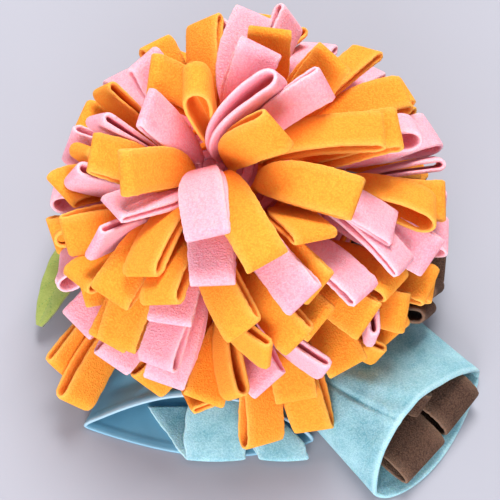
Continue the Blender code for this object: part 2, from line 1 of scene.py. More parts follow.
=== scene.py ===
# %% [markdown]
# # Dressing a snuffle mat
#
# A snuffle mat is a toy that a dog or a cat searches with its nose. This one is a filled dome
# under a thick flower of folded fleece loops. A flat satin pocket opens at its front left, a
# fleece sleeve stuffed with brown loops opens at its front right, and a felt leaf shows at its
# left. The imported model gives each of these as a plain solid. This lesson gives them their cloth:
# soft folds, cut edges, nap, sheen, seams and stitches.
#
# Everything is worked out in millimetres, and `metres()` turns it into Blender's unit at the end.
# +Z is up, -Y is the front, and the origin is the middle of the mat's foot.

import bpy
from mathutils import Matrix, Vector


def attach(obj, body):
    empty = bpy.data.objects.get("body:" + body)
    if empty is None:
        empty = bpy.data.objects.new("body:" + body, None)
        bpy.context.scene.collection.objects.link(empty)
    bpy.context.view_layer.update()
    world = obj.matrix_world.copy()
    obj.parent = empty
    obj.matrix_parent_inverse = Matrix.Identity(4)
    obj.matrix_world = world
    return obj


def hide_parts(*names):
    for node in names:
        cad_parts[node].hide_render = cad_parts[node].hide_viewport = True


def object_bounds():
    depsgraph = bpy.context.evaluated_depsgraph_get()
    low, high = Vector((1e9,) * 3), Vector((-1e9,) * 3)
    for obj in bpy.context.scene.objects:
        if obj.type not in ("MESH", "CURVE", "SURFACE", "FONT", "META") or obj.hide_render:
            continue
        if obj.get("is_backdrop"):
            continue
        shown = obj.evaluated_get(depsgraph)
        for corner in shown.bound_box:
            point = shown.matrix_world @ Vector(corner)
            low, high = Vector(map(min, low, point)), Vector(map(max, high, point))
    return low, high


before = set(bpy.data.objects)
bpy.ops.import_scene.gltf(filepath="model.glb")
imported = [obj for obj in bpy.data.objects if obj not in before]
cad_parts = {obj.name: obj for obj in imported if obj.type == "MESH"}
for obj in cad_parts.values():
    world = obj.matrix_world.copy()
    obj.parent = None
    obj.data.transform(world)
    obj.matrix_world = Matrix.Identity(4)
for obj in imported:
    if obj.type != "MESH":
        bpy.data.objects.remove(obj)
cad_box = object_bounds()
print("nodes in the frame:", len(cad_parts))

# %% Tools
import math
import random

import bmesh
import bpy
import numpy as np
from mathutils import Vector
from mathutils.bvhtree import BVHTree

MM = 0.001


def metres(points):
    return MM * np.asarray(points, dtype=float)


# %% [markdown]
# ## The sizes that the mat was cut to
#
# The dressed mat has to lie exactly where its solids do, so it starts from the same driving
# sizes: the dome, the rings of loops on it, the strips they are folded from, and the two pouches.

# %% Dome, base cloth and rows
TOUCH_GAP = 0.3

DOME_CENTRE = np.array((0.0, 0.0, 58.0))
DOME_RADIUS = 70.0
DOME_SIDES = 16
DOME_FOOT_RADIUS = 76.0
CROWN_LEAN = np.array((-0.28, -0.12))

PANEL_RADIUS = 84.0
PANEL_THICKNESS = 2.0

RING_STEP = 13.0
FIRST_RING = 9.0
TAPE_OFFSET = 3.0
TAPE_WIDTH = 5.0
TAPE_TOP = 2.3
ROOT_HEIGHT = 1.0

# %% Fleece strips
FLEECE = 2.5
STRIP_WIDTH = 25.0
ROOT_WIDTH = 4.5
SEAM_ROOM = 0.3
REACH = 129.0
FLAT_SIDE_AZIMUTH = 140.0
FLAT_SIDE_DEPTH = 13.0
HANG_AZIMUTH = -80.0
HANG_EXTRA = 12.0
BOW = 0.42
BOW_SPREAD = 0.22
# Plain loops lie on their neighbours: the share of a face that has to turn up and outwards
LEAST_UP = 0.5
CLEARANCE = 0.35
OVER_POCKETS_POLAR = 90.0
SEED = 58
TRIES = 220

# %% [markdown]
# ## The chart of loops
#
# A florist would describe this flower ring by ring. Each table below is one ring of the dome,
# from the crown down, and each line is one loop that gives the flower its face: its colour, where
# its tip points, how far it is rolled about its own length, and how wide it gapes.

# %% Charted loops
# Columns: colour, polar angle and azimuth of the tip, roll about its length, gape of the loop,
# swing of the root away from the tip's azimuth.
PETALS = (
    (
        ("pink", 33, -80, 0, 4, 0),
        ("orange", 40, -62, -12, 10, 0),
        ("orange", 23, -144, -65, 8, 0),
        ("pink", 12, 150, 10, 4, 0),
        ("orange", 12, 70, -75, 13, 0),
        ("pink", 18, 33, -35, 14, 0),
        ("orange", 24, -10, 65, 8, 0),
    ),
    (
        ("pink", 34, -134, -5, 5, 0),
        ("orange", 41, -118, -24, 9, 0),
        ("pink", 45, -79, 20, 5, 0),
        ("orange", 45, -24, 0, 5, 0),
        ("orange", 47, 2, -8, 5, 0),
        ("pink", 33, 17, 62, 4, 0),
        ("pink", 28, 46, 42, 8, 0),
        ("orange", 20, 118, -50, 6, -30),
    ),
    (
        ("orange", 59, -127, -5, 8, 0),
        ("orange", 54, -106, 25, 8, 0),
        ("orange", 58, -79, 22, 6, -15),
        ("pink", 57, -62, 15, 5, -8),
        ("orange", 51, -58, 38, 5, -4),
        ("orange", 50, -42, 5, 5, 0),
        ("pink", 49, -29, 5, 4, 0),
        ("orange", 41, 30, 42, 4, 0),
        ("orange", 35, 53, 28, 5, 0),
        ("pink", 56, 50, 0, 4, 0),
        ("orange", 51, 90, -20, 6, 0),
        ("pink", 34, 118, 33, 6, 0),
        ("pink", 36, 160, 80, 6, 0),
    ),
    (
        ("pink", 46, -171, -34, 8, 0),
        ("pink", 53, -137, 24, 5, 0),
        ("pink", 59, -119, 26, 8, 0),
        ("orange", 75, -118, -33, 10, 0),
        ("pink", 61, -103, 35, 8, 0),
        ("orange", 66, -66, 15, 5, -8),
        ("pink", 63, -44, -35, 5, 0),
        ("pink", 61, -23, 0, 4, 0),
        ("pink", 58, 8, -23, 12, 0),
        ("orange", 61, 40, -37, 4, 0),
        ("pink", 55, 63, 60, 6, 0),
        ("orange", 53, 74, 30, 5, 0),
        ("pink", 53, 86, -60, 14, 0),
        ("orange", 52, 111, -10, 6, 0),
        ("orange", 50, 140, -80, 6, 0),
        ("orange", 47, 177, 40, 8, 0),
    ),
    (
        ("orange", 68, -141, -20, 6, 0),
        ("orange", 79, -132, -30, 6, 0),
        ("pink", 80, -110, 25, 9, 0),
        ("orange", 69, -78, 26, 5, -20),
        ("orange", 71, -48, 0, 5, 0),
        ("orange", 68, -37, -28, 8, 0),
        ("orange", 73, -5, -8, 4, 0),
        ("orange", 66, 27, 18, 4, 0),
        ("orange", 62, 152, 12, 8, 0),
        ("pink", 62, 165, -10, 8, 0),
        ("orange", 72, -160, 32, 8, 0),
    ),
    (
        ("pink", 81, -65, 34, 5, -16),
        ("pink", 78, -50, -28, 5, 20),
        ("pink", 75, 8, -37, 6, 0),
        ("pink", 78, 179, 5, 14, 0),
    ),
    (
        ("pink", 93, -143, -30, 6, 0),
        ("pink", 91, -127, -24, 8, 0),
        ("orange", 97, -46, 30, 5, -12),
    ),
    (
        ("orange", 103, -138, 10, 8, 0),
        ("orange", 103, -130, -10, 8, 0),
        ("orange", 96, -38, -36, 12, 0),
        ("orange", 93, -27, 40, 6, 0),
    ),
)

# %% Loops that hang, and how many plain ones fill each ring
# Long loops that hang in front of the pocket. Columns: ring, colour, azimuth of the root, then
# x, y and z of the tip, roll, gape
HANGERS = (
    (6, "orange", -84, 12.0, -138.0, 20.0, -18, 12),
    (6, "orange", -68, 44.0, -130.0, 22.0, 16, 8),
    (7, "orange", -139, -103.0, -113.0, 21.0, 35, 9),
    (7, "orange", -149, -112.0, -95.0, 30.0, 20, 6),
)
# Plain petals that fill each ring. Columns: how many petals the ring has with those above,
# polar angle of a plain tip.
FILL = (
    (7, 29),
    (12, 43),
    (18, 55),
    (23, 66),
    (28, 77),
    (30, 88),
    (30, 98),
    (28, 107),
)

# %% Pocket and sleeve
# Nylon pocket, on the floor at the front left: azimuths of its back edge, which follows the
# base cloth, then the front corners of its mouth
POCKET_BACK = (-145.0, -86.5)
POCKET_LEFT = (-98.0, -120.0)
POCKET_RIGHT = (44.0, -129.0)
POCKET_LIP = 14.0
POCKET_HEM = -13.0
POCKET_FOLD = 5.0
POCKET_RISE = (22.0, 25.0)
NYLON = 1.6

# Fleece sleeve at the front right
SLEEVE_BACK = (-81.0, -12.0)
SLEEVE_LEFT = (78.7, -164.6)
SLEEVE_RIGHT = (150.0, -85.0)
SLEEVE_LIP = 16.0
SLEEVE_HEM = -11.0
SLEEVE_FOLD = 9.0
SLEEVE_RISE = (16.0, 40.0)

# %% Loops in the sleeve and at the side
# Brown loops in the sleeve, placed from the middle of its mouth. Columns: place across the
# mouth, how far out the tip is, height of the tip, roll, gape, strip width, root width, bow
SLEEVE_LOOPS = (
    (-19.0, 12.0, 11.0, 0, 12, 37.0, 20.0, 0.3),
    (20.0, 10.0, 13.0, 0, 13, 36.0, 20.0, 0.3),
    (1.0, -8.0, 31.0, 70, 7, 18.0, 4.5, 0.6),
)
SLEEVE_TAPE = (-52.0, -44.0)
SLEEVE_TAPE_HALF = 36.0

# Brown loops low on the right side, rooted on the skirt of the dome. Columns: azimuth of the
# root and of the tip, height of the tip, roll, gape
SIDE_TAPE = (-45.0, 33.75)
SIDE_TAPE_SHARE = 0.42
SIDE_REACH = 131.0
SIDE_LOOPS = (
    (-32, -28, 42, 20, 8),
    (-21, -19, 36, -50, 9),
    (-10, -10, 33, 35, 8),
    (2, 3, 30, 10, 9),
    (13, 13, 34, -30, 8),
    (25, 25, 31, 40, 9),
)

# %% Strips in the pocket, and the leaf
# Light blue strips that lie in the pocket, folded over its lip. Columns: x, y, z and
# half width
STRIP_PATHS = (
    (
        "pocket_strip_left",
        (
            (-20.0, -94.0, 9.0, 14.0),
            (-18.5, -101.0, 17.0, 15.0),
            (-17.0, -111.0, 20.0, 16.5),
            (-17.0, -121.0, 17.5, 17.5),
            (-16.5, -131.0, 12.0, 18.5),
            (-16.0, -140.0, 6.5, 18.5),
            (-16.5, -142.5, 3.6, 18.5),
            (-21.0, -136.5, 3.4, 18.0),
            (-31.0, -125.0, 3.2, 16.0),
            (-46.0, -108.0, 3.2, 14.0),
        ),
    ),
    (
        "pocket_strip_right",
        (
            (4.0, -108.0, 5.5, 10.0),
            (7.0, -113.0, 9.5, 11.0),
            (11.0, -119.0, 11.5, 12.5),
            (16.0, -126.0, 11.5, 14.0),
            (21.5, -133.0, 9.5, 15.0),
            (24.5, -139.5, 6.5, 15.5),
            (25.5, -142.5, 3.8, 15.5),
            (22.5, -136.0, 3.2, 15.0),
            (15.0, -125.0, 3.2, 13.0),
            (9.0, -114.0, 3.2, 11.0),
        ),
    ),
)

# Felt leaf at the left. Columns: x, y, z of its middle line, half width
LEAF_THICKNESS = 3.2
LEAF_CREASE = 1.6
LEAF_FACE = np.array((-0.45, -0.45, 0.77))
LEAF_LINE = (
    (-75.0, 24.0, 6.0, 6.0),
    (-86.0, 20.0, 9.0, 9.0),
    (-98.0, 10.0, 18.0, 12.5),
    (-107.0, -6.0, 24.0, 14.0),
    (-115.0, -22.0, 24.0, 13.0),
    (-122.0, -37.0, 20.5, 10.0),
    (-127.5, -49.0, 15.5, 6.0),
    (-130.5, -56.0, 12.0, 2.2),
)

# %% [markdown]
# ## Where each loop goes
#
# Real loops crowd until they hold each other up. The model does the same with a fitting game:
# each loop starts from its line in the chart, and it is turned a little further at each try
# until it touches no neighbour. The tries come from a seeded dice, so the game always ends alike,
# and the cloth made here grows from the very roots of the solids. The game tests the solids, whose
# legs are straight between three stops, so the curved and twisted cloth may press a little into
# its neighbour, as soft cloth does.

# %% Directions
def unit(vector):
    return vector / np.linalg.norm(vector)


def units(vectors):
    return vectors / np.linalg.norm(vectors, axis=1)[:, None]


def round_point(radius, azimuth, height=0.0):
    a = math.radians(azimuth)
    return np.array((radius * math.cos(a), radius * math.sin(a), height))


def aim(polar, azimuth):
    """Direction from the dome's centre, with the crown leaning to CROWN_LEAN."""
    p = math.radians(polar)
    a = math.radians(azimuth)
    lean = CROWN_LEAN * max(0.0, math.cos(p))
    x = math.sin(p) * math.cos(a) + lean[0]
    y = math.sin(p) * math.sin(a) + lean[1]
    return unit(np.array((x, y, math.cos(p))))


# %% The dome's facets
def dome_corners():
    """Rings of the dome's corners: ring i of petals sits between rings i and i + 1."""
    step = 360.0 / DOME_SIDES
    rings = []
    for edge in range(len(PETALS) + 1):
        polar = FIRST_RING + RING_STEP * (edge - 0.5)
        ways = [aim(polar, step * i) for i in range(DOME_SIDES)]
        rings.append([DOME_CENTRE + DOME_RADIUS * way for way in ways])
    floor = PANEL_THICKNESS + TOUCH_GAP
    rings.append([round_point(DOME_FOOT_RADIUS, step * i, floor) for i in range(DOME_SIDES)])
    return np.array(rings)


def grid_faces(rows, columns, closed_rows=False, closed_columns=False):
    """Quads over a grid of points counted row by row."""
    faces = []
    for r in range(rows if closed_rows else rows - 1):
        for c in range(columns if closed_columns else columns - 1):
            r2 = (r + 1) % rows
            c2 = (c + 1) % columns
            faces.append((r * columns + c, r * columns + c2, r2 * columns + c2, r2 * columns + c))
    return faces


CORNERS = dome_corners()
SKIRT = len(PETALS)

# %% Points on the dome
def on_dome(ring, down, azimuth):
    """Point and outward normal on a dome facet, at the share down from its upper edge."""
    place = (azimuth % 360.0) / (360.0 / DOME_SIDES)
    i = int(place) % DOME_SIDES
    j = (i + 1) % DOME_SIDES
    across = place - int(place)
    top = CORNERS[ring][i] * (1 - across) + CORNERS[ring][j] * across
    bottom = CORNERS[ring + 1][i] * (1 - across) + CORNERS[ring + 1][j] * across
    normal = unit(np.cross(bottom - top, CORNERS[ring][j] - CORNERS[ring][i]))
    point = top * (1 - down) + bottom * down
    if normal @ (point - DOME_CENTRE) < 0:
        normal = -normal
    return point, normal


def dome_mesh():
    """The dome: each facet is split along its lower diagonal, so that no tape cuts into it."""
    points = CORNERS.reshape(-1, 3)
    faces = [tuple(range(DOME_SIDES))]
    for a, b, c, d in grid_faces(len(CORNERS), DOME_SIDES, closed_columns=True):
        first = np.linalg.norm(0.5 * (points[a] + points[c]) - DOME_CENTRE)
        second = np.linalg.norm(0.5 * (points[b] + points[d]) - DOME_CENTRE)
        if first < second:
            faces += [(a, b, c), (a, c, d)]
        else:
            faces += [(a, b, d), (b, c, d)]
    last = DOME_SIDES * (len(CORNERS) - 1)
    faces.append(tuple(range(last + DOME_SIDES - 1, last - 1, -1)))
    return points, faces


def tape_mesh(ring, down, azimuths, closed):
    """A flat tape on the dome: a rectangle carried round the ring's facets."""
    high = np.linalg.norm(CORNERS[ring + 1][0] - CORNERS[ring][0])
    half = 0.5 * TAPE_WIDTH / high
    points = []
    for azimuth in azimuths:
        upper = on_dome(ring, down - half, azimuth)[0]
        lower = on_dome(ring, down + half, azimuth)[0]
        out = unit(np.cross(lower - upper, round_point(1.0, azimuth + 90.0)))
        points.append(upper + out * TOUCH_GAP)
        points.append(lower + out * TOUCH_GAP)
        points.append(lower + out * TAPE_TOP)
        points.append(upper + out * TAPE_TOP)
    faces = grid_faces(len(azimuths), 4, closed_rows=closed, closed_columns=True)
    if not closed:
        last = len(points) - 4
        faces.append((3, 2, 1, 0))
        faces.append((last, last + 1, last + 2, last + 3))
    return np.array(points), faces


def row_share(colour):
    """How far down its facet a row's tape lies."""
    return 0.5 + (-TAPE_OFFSET if colour == "pink" else TAPE_OFFSET) / RING_STEP


def row_tape(ring, colour):
    azimuths = [i * 360.0 / DOME_SIDES for i in range(DOME_SIDES)]
    return tape_mesh(ring, row_share(colour), azimuths, True)


# %% A strip carried along its middle line
def ribbon_mesh(middle, widths, halves, thick, start, end):
    """A strip of cloth: a flat rectangle carried along its middle line.

    widths are the directions across the strip, halves its half widths, and start and end the
    directions in which its two ends run.
    """
    steps = units(np.diff(middle, axis=0))
    before = np.vstack((start, steps))
    after = np.vstack((steps, end))
    runs = units(before + after)
    runs[0] = start
    runs[-1] = end
    outs = units(np.cross(widths, runs))
    cosine = np.clip(np.einsum("ij,ij->i", before, runs), 0.7, 1.0)
    cosine[0] = 1.0
    cosine[-1] = 1.0
    wide = widths * halves[:, None]
    high = outs * (thick / cosine)[:, None]
    sections = np.stack((middle - wide - high, middle + wide - high,
                         middle + wide + high, middle - wide + high), axis=1)
    count = len(middle)
    faces = grid_faces(count, 4, closed_columns=True)
    last = 4 * (count - 1)
    faces.append((3, 2, 1, 0))
    faces.append((last, last + 1, last + 2, last + 3))
    return sections.reshape(-1, 3), faces


def leg_stops(gape):
    """Where a loop's two legs pass. Columns: t, distance from the middle line, share of width."""
    seam = 0.5 * FLEECE + SEAM_ROOM
    half = max(seam, 0.5 * gape)
    stops = (
        (0.0, seam, 0.0),
        (0.5, seam + 0.5 * (half - seam), 0.72),
        (1.0, max(seam, 0.7 * half), 1.0),
    )
    back = [(t, -gap, share) for t, gap, share in reversed(stops)]
    return np.array(list(stops) + back)


def knee_of(petal):
    """The point on the root's normal that a petal bows towards."""
    length = np.linalg.norm(petal["tip"] - petal["root"])
    return petal["root"] + petal["normal"] * (petal["bow"] * length)


def width_of(petal):
    """Direction of a petal's width: round the dome, square to the chord, turned by the roll."""
    chord = unit(petal["tip"] - petal["root"])
    across = np.cross(chord, petal["normal"])
    if np.linalg.norm(across) < 0.12:
        across = petal["side"] - (petal["side"] @ chord) * chord
    across = unit(across)
    if across @ petal["side"] < 0:
        across = -across
    angle = math.radians(petal["roll"])
    return across * math.cos(angle) + np.cross(chord, across) * math.sin(angle)


def turned_up(petal):
    """How far a petal's face turns up and outwards: 0 where it stands on edge, 1 where flat."""
    knee = knee_of(petal)
    along = unit(0.3 * (knee - petal["root"]) + 0.7 * (petal["tip"] - knee))
    out = unit((petal["tip"] - DOME_CENTRE)[:2])
    face = unit(np.cross(width_of(petal), along))
    return abs(face @ np.array((0.5 * out[0], 0.5 * out[1], 0.866)))


def petal_mesh(petal, grow=0.0):
    """A folded strip: it leaves its root along the normal and bows over to its tip.

    The middle line is a quadratic curve from the root, by a knee on the normal, to the tip. The
    two legs lie on either side of it, across the strip's width, and meet at the tip.
    """
    root, normal, tip = petal["root"], petal["normal"], petal["tip"]
    knee = knee_of(petal)
    rolled = width_of(petal)
    stops = leg_stops(petal["gape"])
    t = stops[:, :1]
    line = root * (1 - t) ** 2 + knee * (2 * t * (1 - t)) + tip * t ** 2
    along = units((knee - root) * (1 - t) + (tip - knee) * t)
    widths = units(rolled - along * (along @ rolled)[:, None])
    middle = line + np.cross(widths, along) * stops[:, 1:2]
    slim = petal["root_width"]
    halves = 0.5 * (slim + (petal["width"] - slim) * stops[:, 2]) + grow
    return ribbon_mesh(middle, widths, halves, 0.5 * FLEECE + grow, normal, -normal)


# %% Neighbours
def tree(points, faces):
    return BVHTree.FromPolygons(points.tolist(), faces)


def as_neighbour(points, faces):
    middle = points.mean(axis=0)
    size = np.linalg.norm(points - middle, axis=1).max()
    return middle, size, tree(points, faces)


def is_clear(petal, neighbours):
    """True if the petal keeps CLEARANCE to every neighbour and stays off the base cloth."""
    points, faces = petal_mesh(petal, CLEARANCE)
    if points[:, 2].min() < PANEL_THICKNESS + TOUCH_GAP:
        return False
    middle, size, bvh = as_neighbour(points, faces)
    for centre, reach, other in neighbours:
        if np.linalg.norm(middle - centre) < reach + size and bvh.overlap(other):
            return False
    return True


# %% One loop's place
def tip_at(polar, azimuth, short):
    """Where a tip ends: flatter at the back left, longer where loops hang in front."""
    sine = math.sin(math.radians(polar))
    flat = max(0.0, math.cos(math.radians(azimuth - FLAT_SIDE_AZIMUTH)))
    reach = REACH - FLAT_SIDE_DEPTH * flat * sine
    if polar > 100.0:
        reach += HANG_EXTRA * max(0.0, math.cos(math.radians(2.0 * (azimuth - HANG_AZIMUTH))))
    return DOME_CENTRE + (reach - 0.5 * FLEECE - short) * aim(polar, azimuth)


def flat_side(normal, azimuth):
    """Direction round the dome, square to the normal."""
    side = round_point(1.0, azimuth + 90.0)
    return unit(side - (side @ normal) * normal)


def make_petal(ring, colour, root_azimuth, tip, roll, gape):
    foot, normal = on_dome(ring, row_share(colour), root_azimuth)
    return {
        "ring": ring,
        "colour": colour,
        "root": foot + normal * ROOT_HEIGHT,
        "normal": normal,
        "side": flat_side(normal, root_azimuth),
        "tip": tip,
        "roll": roll,
        "gape": gape,
        "bow": BOW,
        "width": STRIP_WIDTH,
        "root_width": ROOT_WIDTH,
    }


def plain_polar(ring, azimuth):
    """Polar angle of a plain tip: over the pockets and the brown row the loops lie higher."""
    polar = FILL[ring][1]
    if -150.0 < (azimuth + 180.0) % 360.0 - 180.0 < 38.0:
        polar = min(polar, OVER_POCKETS_POLAR)
    return polar


# %% A ring's wishes
SAME_COLOUR_ODDS = 0.2
PLAIN_POLAR_SPREAD = (-7, 4)
PLAIN_AZIMUTH_SPREAD = 9
PLAIN_ROLL = 40
PLAIN_GAPES = (5, 6, 8, 10, 13)


def either_way(dice, most):
    return dice.uniform(-most, most)


def plan_ring(ring, dice):
    """The wishes of one ring: its charted petals, then plain ones in the widest gaps."""
    wishes = []
    for colour, polar, azimuth, roll, gape, swing in PETALS[ring]:
        wishes.append((colour, (azimuth + swing) % 360.0, polar, azimuth, roll, gape))
    charted = len(wishes)
    while len(wishes) < FILL[ring][0]:
        taken = sorted((wish[1], wish[0]) for wish in wishes)
        gaps = [(taken[(i + 1) % len(taken)][0] - taken[i][0]) % 360.0 for i in range(len(taken))]
        widest = gaps.index(max(gaps))
        azimuth = (taken[widest][0] + 0.5 * gaps[widest]) % 360.0
        colour = "pink" if taken[widest][1] == "orange" else "orange"
        if dice.random() < SAME_COLOUR_ODDS:
            colour = taken[widest][1]
        polar = plain_polar(ring, azimuth) + dice.uniform(*PLAIN_POLAR_SPREAD)
        roll = either_way(dice, PLAIN_ROLL)
        gape = dice.choice(PLAIN_GAPES)
        tip_azimuth = azimuth + either_way(dice, PLAIN_AZIMUTH_SPREAD)
        wishes.append((colour, azimuth, polar, tip_azimuth, roll, gape))
    return wishes[:charted], wishes[charted:]


# %% How far a loop may shift
# By its last try: its tip's polar angle and azimuth, its length, its root's azimuth, its roll, and
# the share of its gape that it gives up
TIP_POLAR_SHIFT = 16
TIP_AZIMUTH_SHIFT = 18
TIP_SHORTER = 14
ROOT_AZIMUTH_SHIFT = 14
ROLL_SHIFT = 60
GAPE_LOSS = 0.5

# %% The fitting game
def fit_petals(obstacles):
    """Places every petal clear of those before it, shifting it a little further at each try."""
    dice = random.Random(SEED)
    neighbours = list(obstacles)
    rows = [(ring, colour) for ring in range(len(PETALS)) for colour in ("pink", "orange")]
    ring_tapes = {row: as_neighbour(*row_tape(*row)) for row in rows}
    petals = []
    for ring, colour, root_azimuth, x, y, z, roll, gape in HANGERS:
        petal = make_petal(ring, colour, root_azimuth, np.array((x, y, z)), roll, gape)
        petals.append(petal)
        neighbours.append(as_neighbour(*petal_mesh(petal)))
    plans = [plan_ring(ring, dice) for ring in range(len(PETALS))]
    order = [(ring, wish, True) for ring in range(len(PETALS)) for wish in plans[ring][0]]
    order += [(ring, wish, False) for ring in range(len(PETALS)) for wish in plans[ring][1]]
    for ring, (colour, root_azimuth, polar, azimuth, roll, gape), charted in order:
        tapes = [shape for row, shape in ring_tapes.items() if row != (ring, colour)]
        for attempt in range(TRIES):
            loose = attempt / TRIES
            tip = tip_at(polar + loose * either_way(dice, TIP_POLAR_SHIFT),
                         azimuth + loose * either_way(dice, TIP_AZIMUTH_SHIFT),
                         loose * dice.uniform(0, TIP_SHORTER))
            root_place = root_azimuth + loose * either_way(dice, ROOT_AZIMUTH_SHIFT)
            rolled = roll + loose * either_way(dice, ROLL_SHIFT)
            gaping = gape * (1 - GAPE_LOSS * loose)
            petal = make_petal(ring, colour, root_place, tip, rolled, gaping)
            petal["bow"] = BOW + loose * either_way(dice, BOW_SPREAD)
            if not charted and turned_up(petal) < LEAST_UP:
                continue
            if is_clear(petal, neighbours + tapes):
                petals.append(petal)
                neighbours.append(as_neighbour(*petal_mesh(petal)))
                break
    return petals


# %% Pocket and sleeve as obstacles
def pouch_mesh(back, left, right, lip, hem, fold, rise, peak, thick, columns, rows):
    """A flat pocket on the floor: closed at the back, open in front.

    back holds the azimuths of the back edge. Both front edges run from left to right, and bulge
    forward by lip below and by hem above. The upper wall stands fold high at its side folds,
    and rises further by rise, first at the back and then at the mouth, highest at the share
    peak of the width.
    """
    left = np.array((*left, 0.0))
    right = np.array((*right, 0.0))
    chord = unit(right - left)
    forward = np.array((chord[1], -chord[0], 0.0))
    width = np.linalg.norm(right - left)
    radius = PANEL_RADIUS + TOUCH_GAP

    def hump(u):
        return max(0.0, math.sin(math.pi * u ** (math.log(0.5) / math.log(peak)))) ** 0.8

    def wall(u, v, bulge, height):
        start = round_point(radius, back[0] + (back[1] - back[0]) * u)
        end = left + (right - left) * u + forward * bulge * hump(u)
        point = start + (end - start) * v
        point[2] = height
        return point

    def top(u, v):
        return fold + (rise[0] + (rise[1] - rise[0]) * v) * hump(u)

    inset = thick / width
    depth = thick / 50.0
    us = [i / (columns - 1) for i in range(columns)]
    vs = [i / (rows - 1) for i in range(rows)]
    inner_us = [inset + (1 - 2 * inset) * u for u in us]
    inner_vs = [depth + (1 - depth) * v for v in vs]
    sheets = (
        [wall(u, v, lip, 0.0) for v in vs for u in us],
        [wall(u, v, hem, top(u, v)) for v in vs for u in us],
        [wall(u, v, lip, thick) for v in inner_vs for u in inner_us],
        [wall(u, v, hem, top(u, v) - thick) for v in inner_vs for u in inner_us],
    )
    size = rows * columns
    faces = []
    for number in range(4):
        start = number * size
        faces += [tuple(start + i for i in face) for face in grid_faces(rows, columns)]
    for low, high in ((0, size), (2 * size, 3 * size)):
        for r in range(rows - 1):
            for c in (0, columns - 1):
                a = r * columns + c
                b = a + columns
                faces.append((low + a, low + b, high + b, high + a))
        for c in range(columns - 1):
            faces.append((low + c, low + c + 1, high + c + 1, high + c))
    front = (rows - 1) * columns
    for outer, inner in ((0, 2 * size), (size, 3 * size)):
        for c in range(columns - 1):
            a = front + c
            faces.append((outer + a, outer + a + 1, inner + a + 1, inner + a))
    for c in (0, columns - 1):
        a = front + c
        faces.append((a, size + a, 3 * size + a, 2 * size + a))
    return np.concatenate(sheets), faces


def pocket_shape():
    return pouch_mesh(POCKET_BACK, POCKET_LEFT, POCKET_RIGHT, POCKET_LIP, POCKET_HEM, POCKET_FOLD,
                      POCKET_RISE, 0.55, NYLON, 11, 4)


def sleeve_shape():
    return pouch_mesh(SLEEVE_BACK, SLEEVE_LEFT, SLEEVE_RIGHT, SLEEVE_LIP, SLEEVE_HEM, SLEEVE_FOLD,
                      SLEEVE_RISE, 0.38, FLEECE, 12, 5)


# %% Strips, leaf and brown loops as obstacles
def strip_shape(path):
    """A wide strip folded over: its width lies along X."""
    middle = np.array(path)[:, :3]
    steps = np.diff(middle, axis=0)
    steps = np.vstack((steps, steps[-1:]))
    widths = np.tile(np.array((1.0, 0.0, 0.0)), (len(middle), 1))
    halves = np.array(path)[:, 3]
    return ribbon_mesh(middle, widths, halves, 0.5 * FLEECE, unit(steps[0]), unit(steps[-1]))


def sleeve_loops():
    """Backing strip on the sleeve's floor and the wide loops that stand on it."""
    left = np.array((*SLEEVE_LEFT, 0.0))
    right = np.array((*SLEEVE_RIGHT, 0.0))
    across = unit(right - left)
    out = np.array((across[1], -across[0], 0.0))
    mouth = 0.5 * (left + right)
    up = np.array((0.0, 0.0, 1.0))
    low = FLEECE + TOUCH_GAP
    high = low + FLEECE
    corners = []
    for z in (low, high):
        for far, side in ((0, -1), (0, 1), (1, 1), (1, -1)):
            flat = out * SLEEVE_TAPE[far] + across * side * SLEEVE_TAPE_HALF
            corners.append(mouth + flat + up * z)
    faces = [(0, 1, 2, 3), (7, 6, 5, 4), (0, 1, 5, 4), (1, 2, 6, 5), (2, 3, 7, 6), (3, 0, 4, 7)]
    loops = []
    for place, far, height, roll, gape, width, root_width, bow in SLEEVE_LOOPS:
        inward = out * (0.5 * sum(SLEEVE_TAPE))
        root = mouth + inward + across * (0.9 * place) + up * (low + ROOT_HEIGHT)
        loops.append({
            "root": root,
            "normal": up,
            "side": across,
            "tip": mouth + out * far + across * place + up * height,
            "roll": roll,
            "gape": gape,
            "bow": bow,
            "width": width,
            "root_width": root_width,
        })
    return (np.array(corners), faces), loops


def side_loops():
    step = 360.0 / DOME_SIDES
    count = int((SIDE_TAPE[1] - SIDE_TAPE[0]) / (0.5 * step)) + 1
    azimuths = np.linspace(SIDE_TAPE[0], SIDE_TAPE[1], count)
    loops = []
    for root_azimuth, azimuth, height, roll, gape in SIDE_LOOPS:
        foot, normal = on_dome(SKIRT, SIDE_TAPE_SHARE, root_azimuth)
        loops.append({
            "root": foot + normal * ROOT_HEIGHT,
            "normal": normal,
            "side": flat_side(normal, root_azimuth),
            "tip": round_point(SIDE_REACH, azimuth, height),
            "roll": roll,
            "gape": gape,
            "bow": BOW,
            "width": STRIP_WIDTH,
            "root_width": ROOT_WIDTH,
        })
    return tape_mesh(SKIRT, SIDE_TAPE_SHARE, azimuths, False), loops


def leaf_shape():
    """A felt leaf: a flat section with a crease, carried along its middle line."""
    line = np.array(LEAF_LINE)
    middle = line[:, :3]
    runs = units(np.gradient(middle, axis=0))
    face = unit(LEAF_FACE)
    widths = units(np.cross(runs, face))
    ups = units(np.cross(widths, runs))
    ups[ups @ face < 0] *= -1
    wide = widths * line[:, 3:]
    thick = 0.5 * LEAF_THICKNESS * ups
    crease = LEAF_CREASE * ups * np.minimum(1.0, line[:, 3:] / 8.0)
    upper = (middle - wide + thick, middle + thick - crease, middle + wide + thick)
    lower = (middle + wide - thick, middle - thick - crease, middle - wide - thick)
    sections = np.stack(upper + lower, axis=1)
    count = len(line)
    faces = grid_faces(count, 6, closed_columns=True)
    last = 6 * (count - 1)
    for start in (0, last):
        faces.append((start, start + 1, start + 4, start + 5))
        faces.append((start + 1, start + 2, start + 3, start + 4))
    return sections.reshape(-1, 3), faces


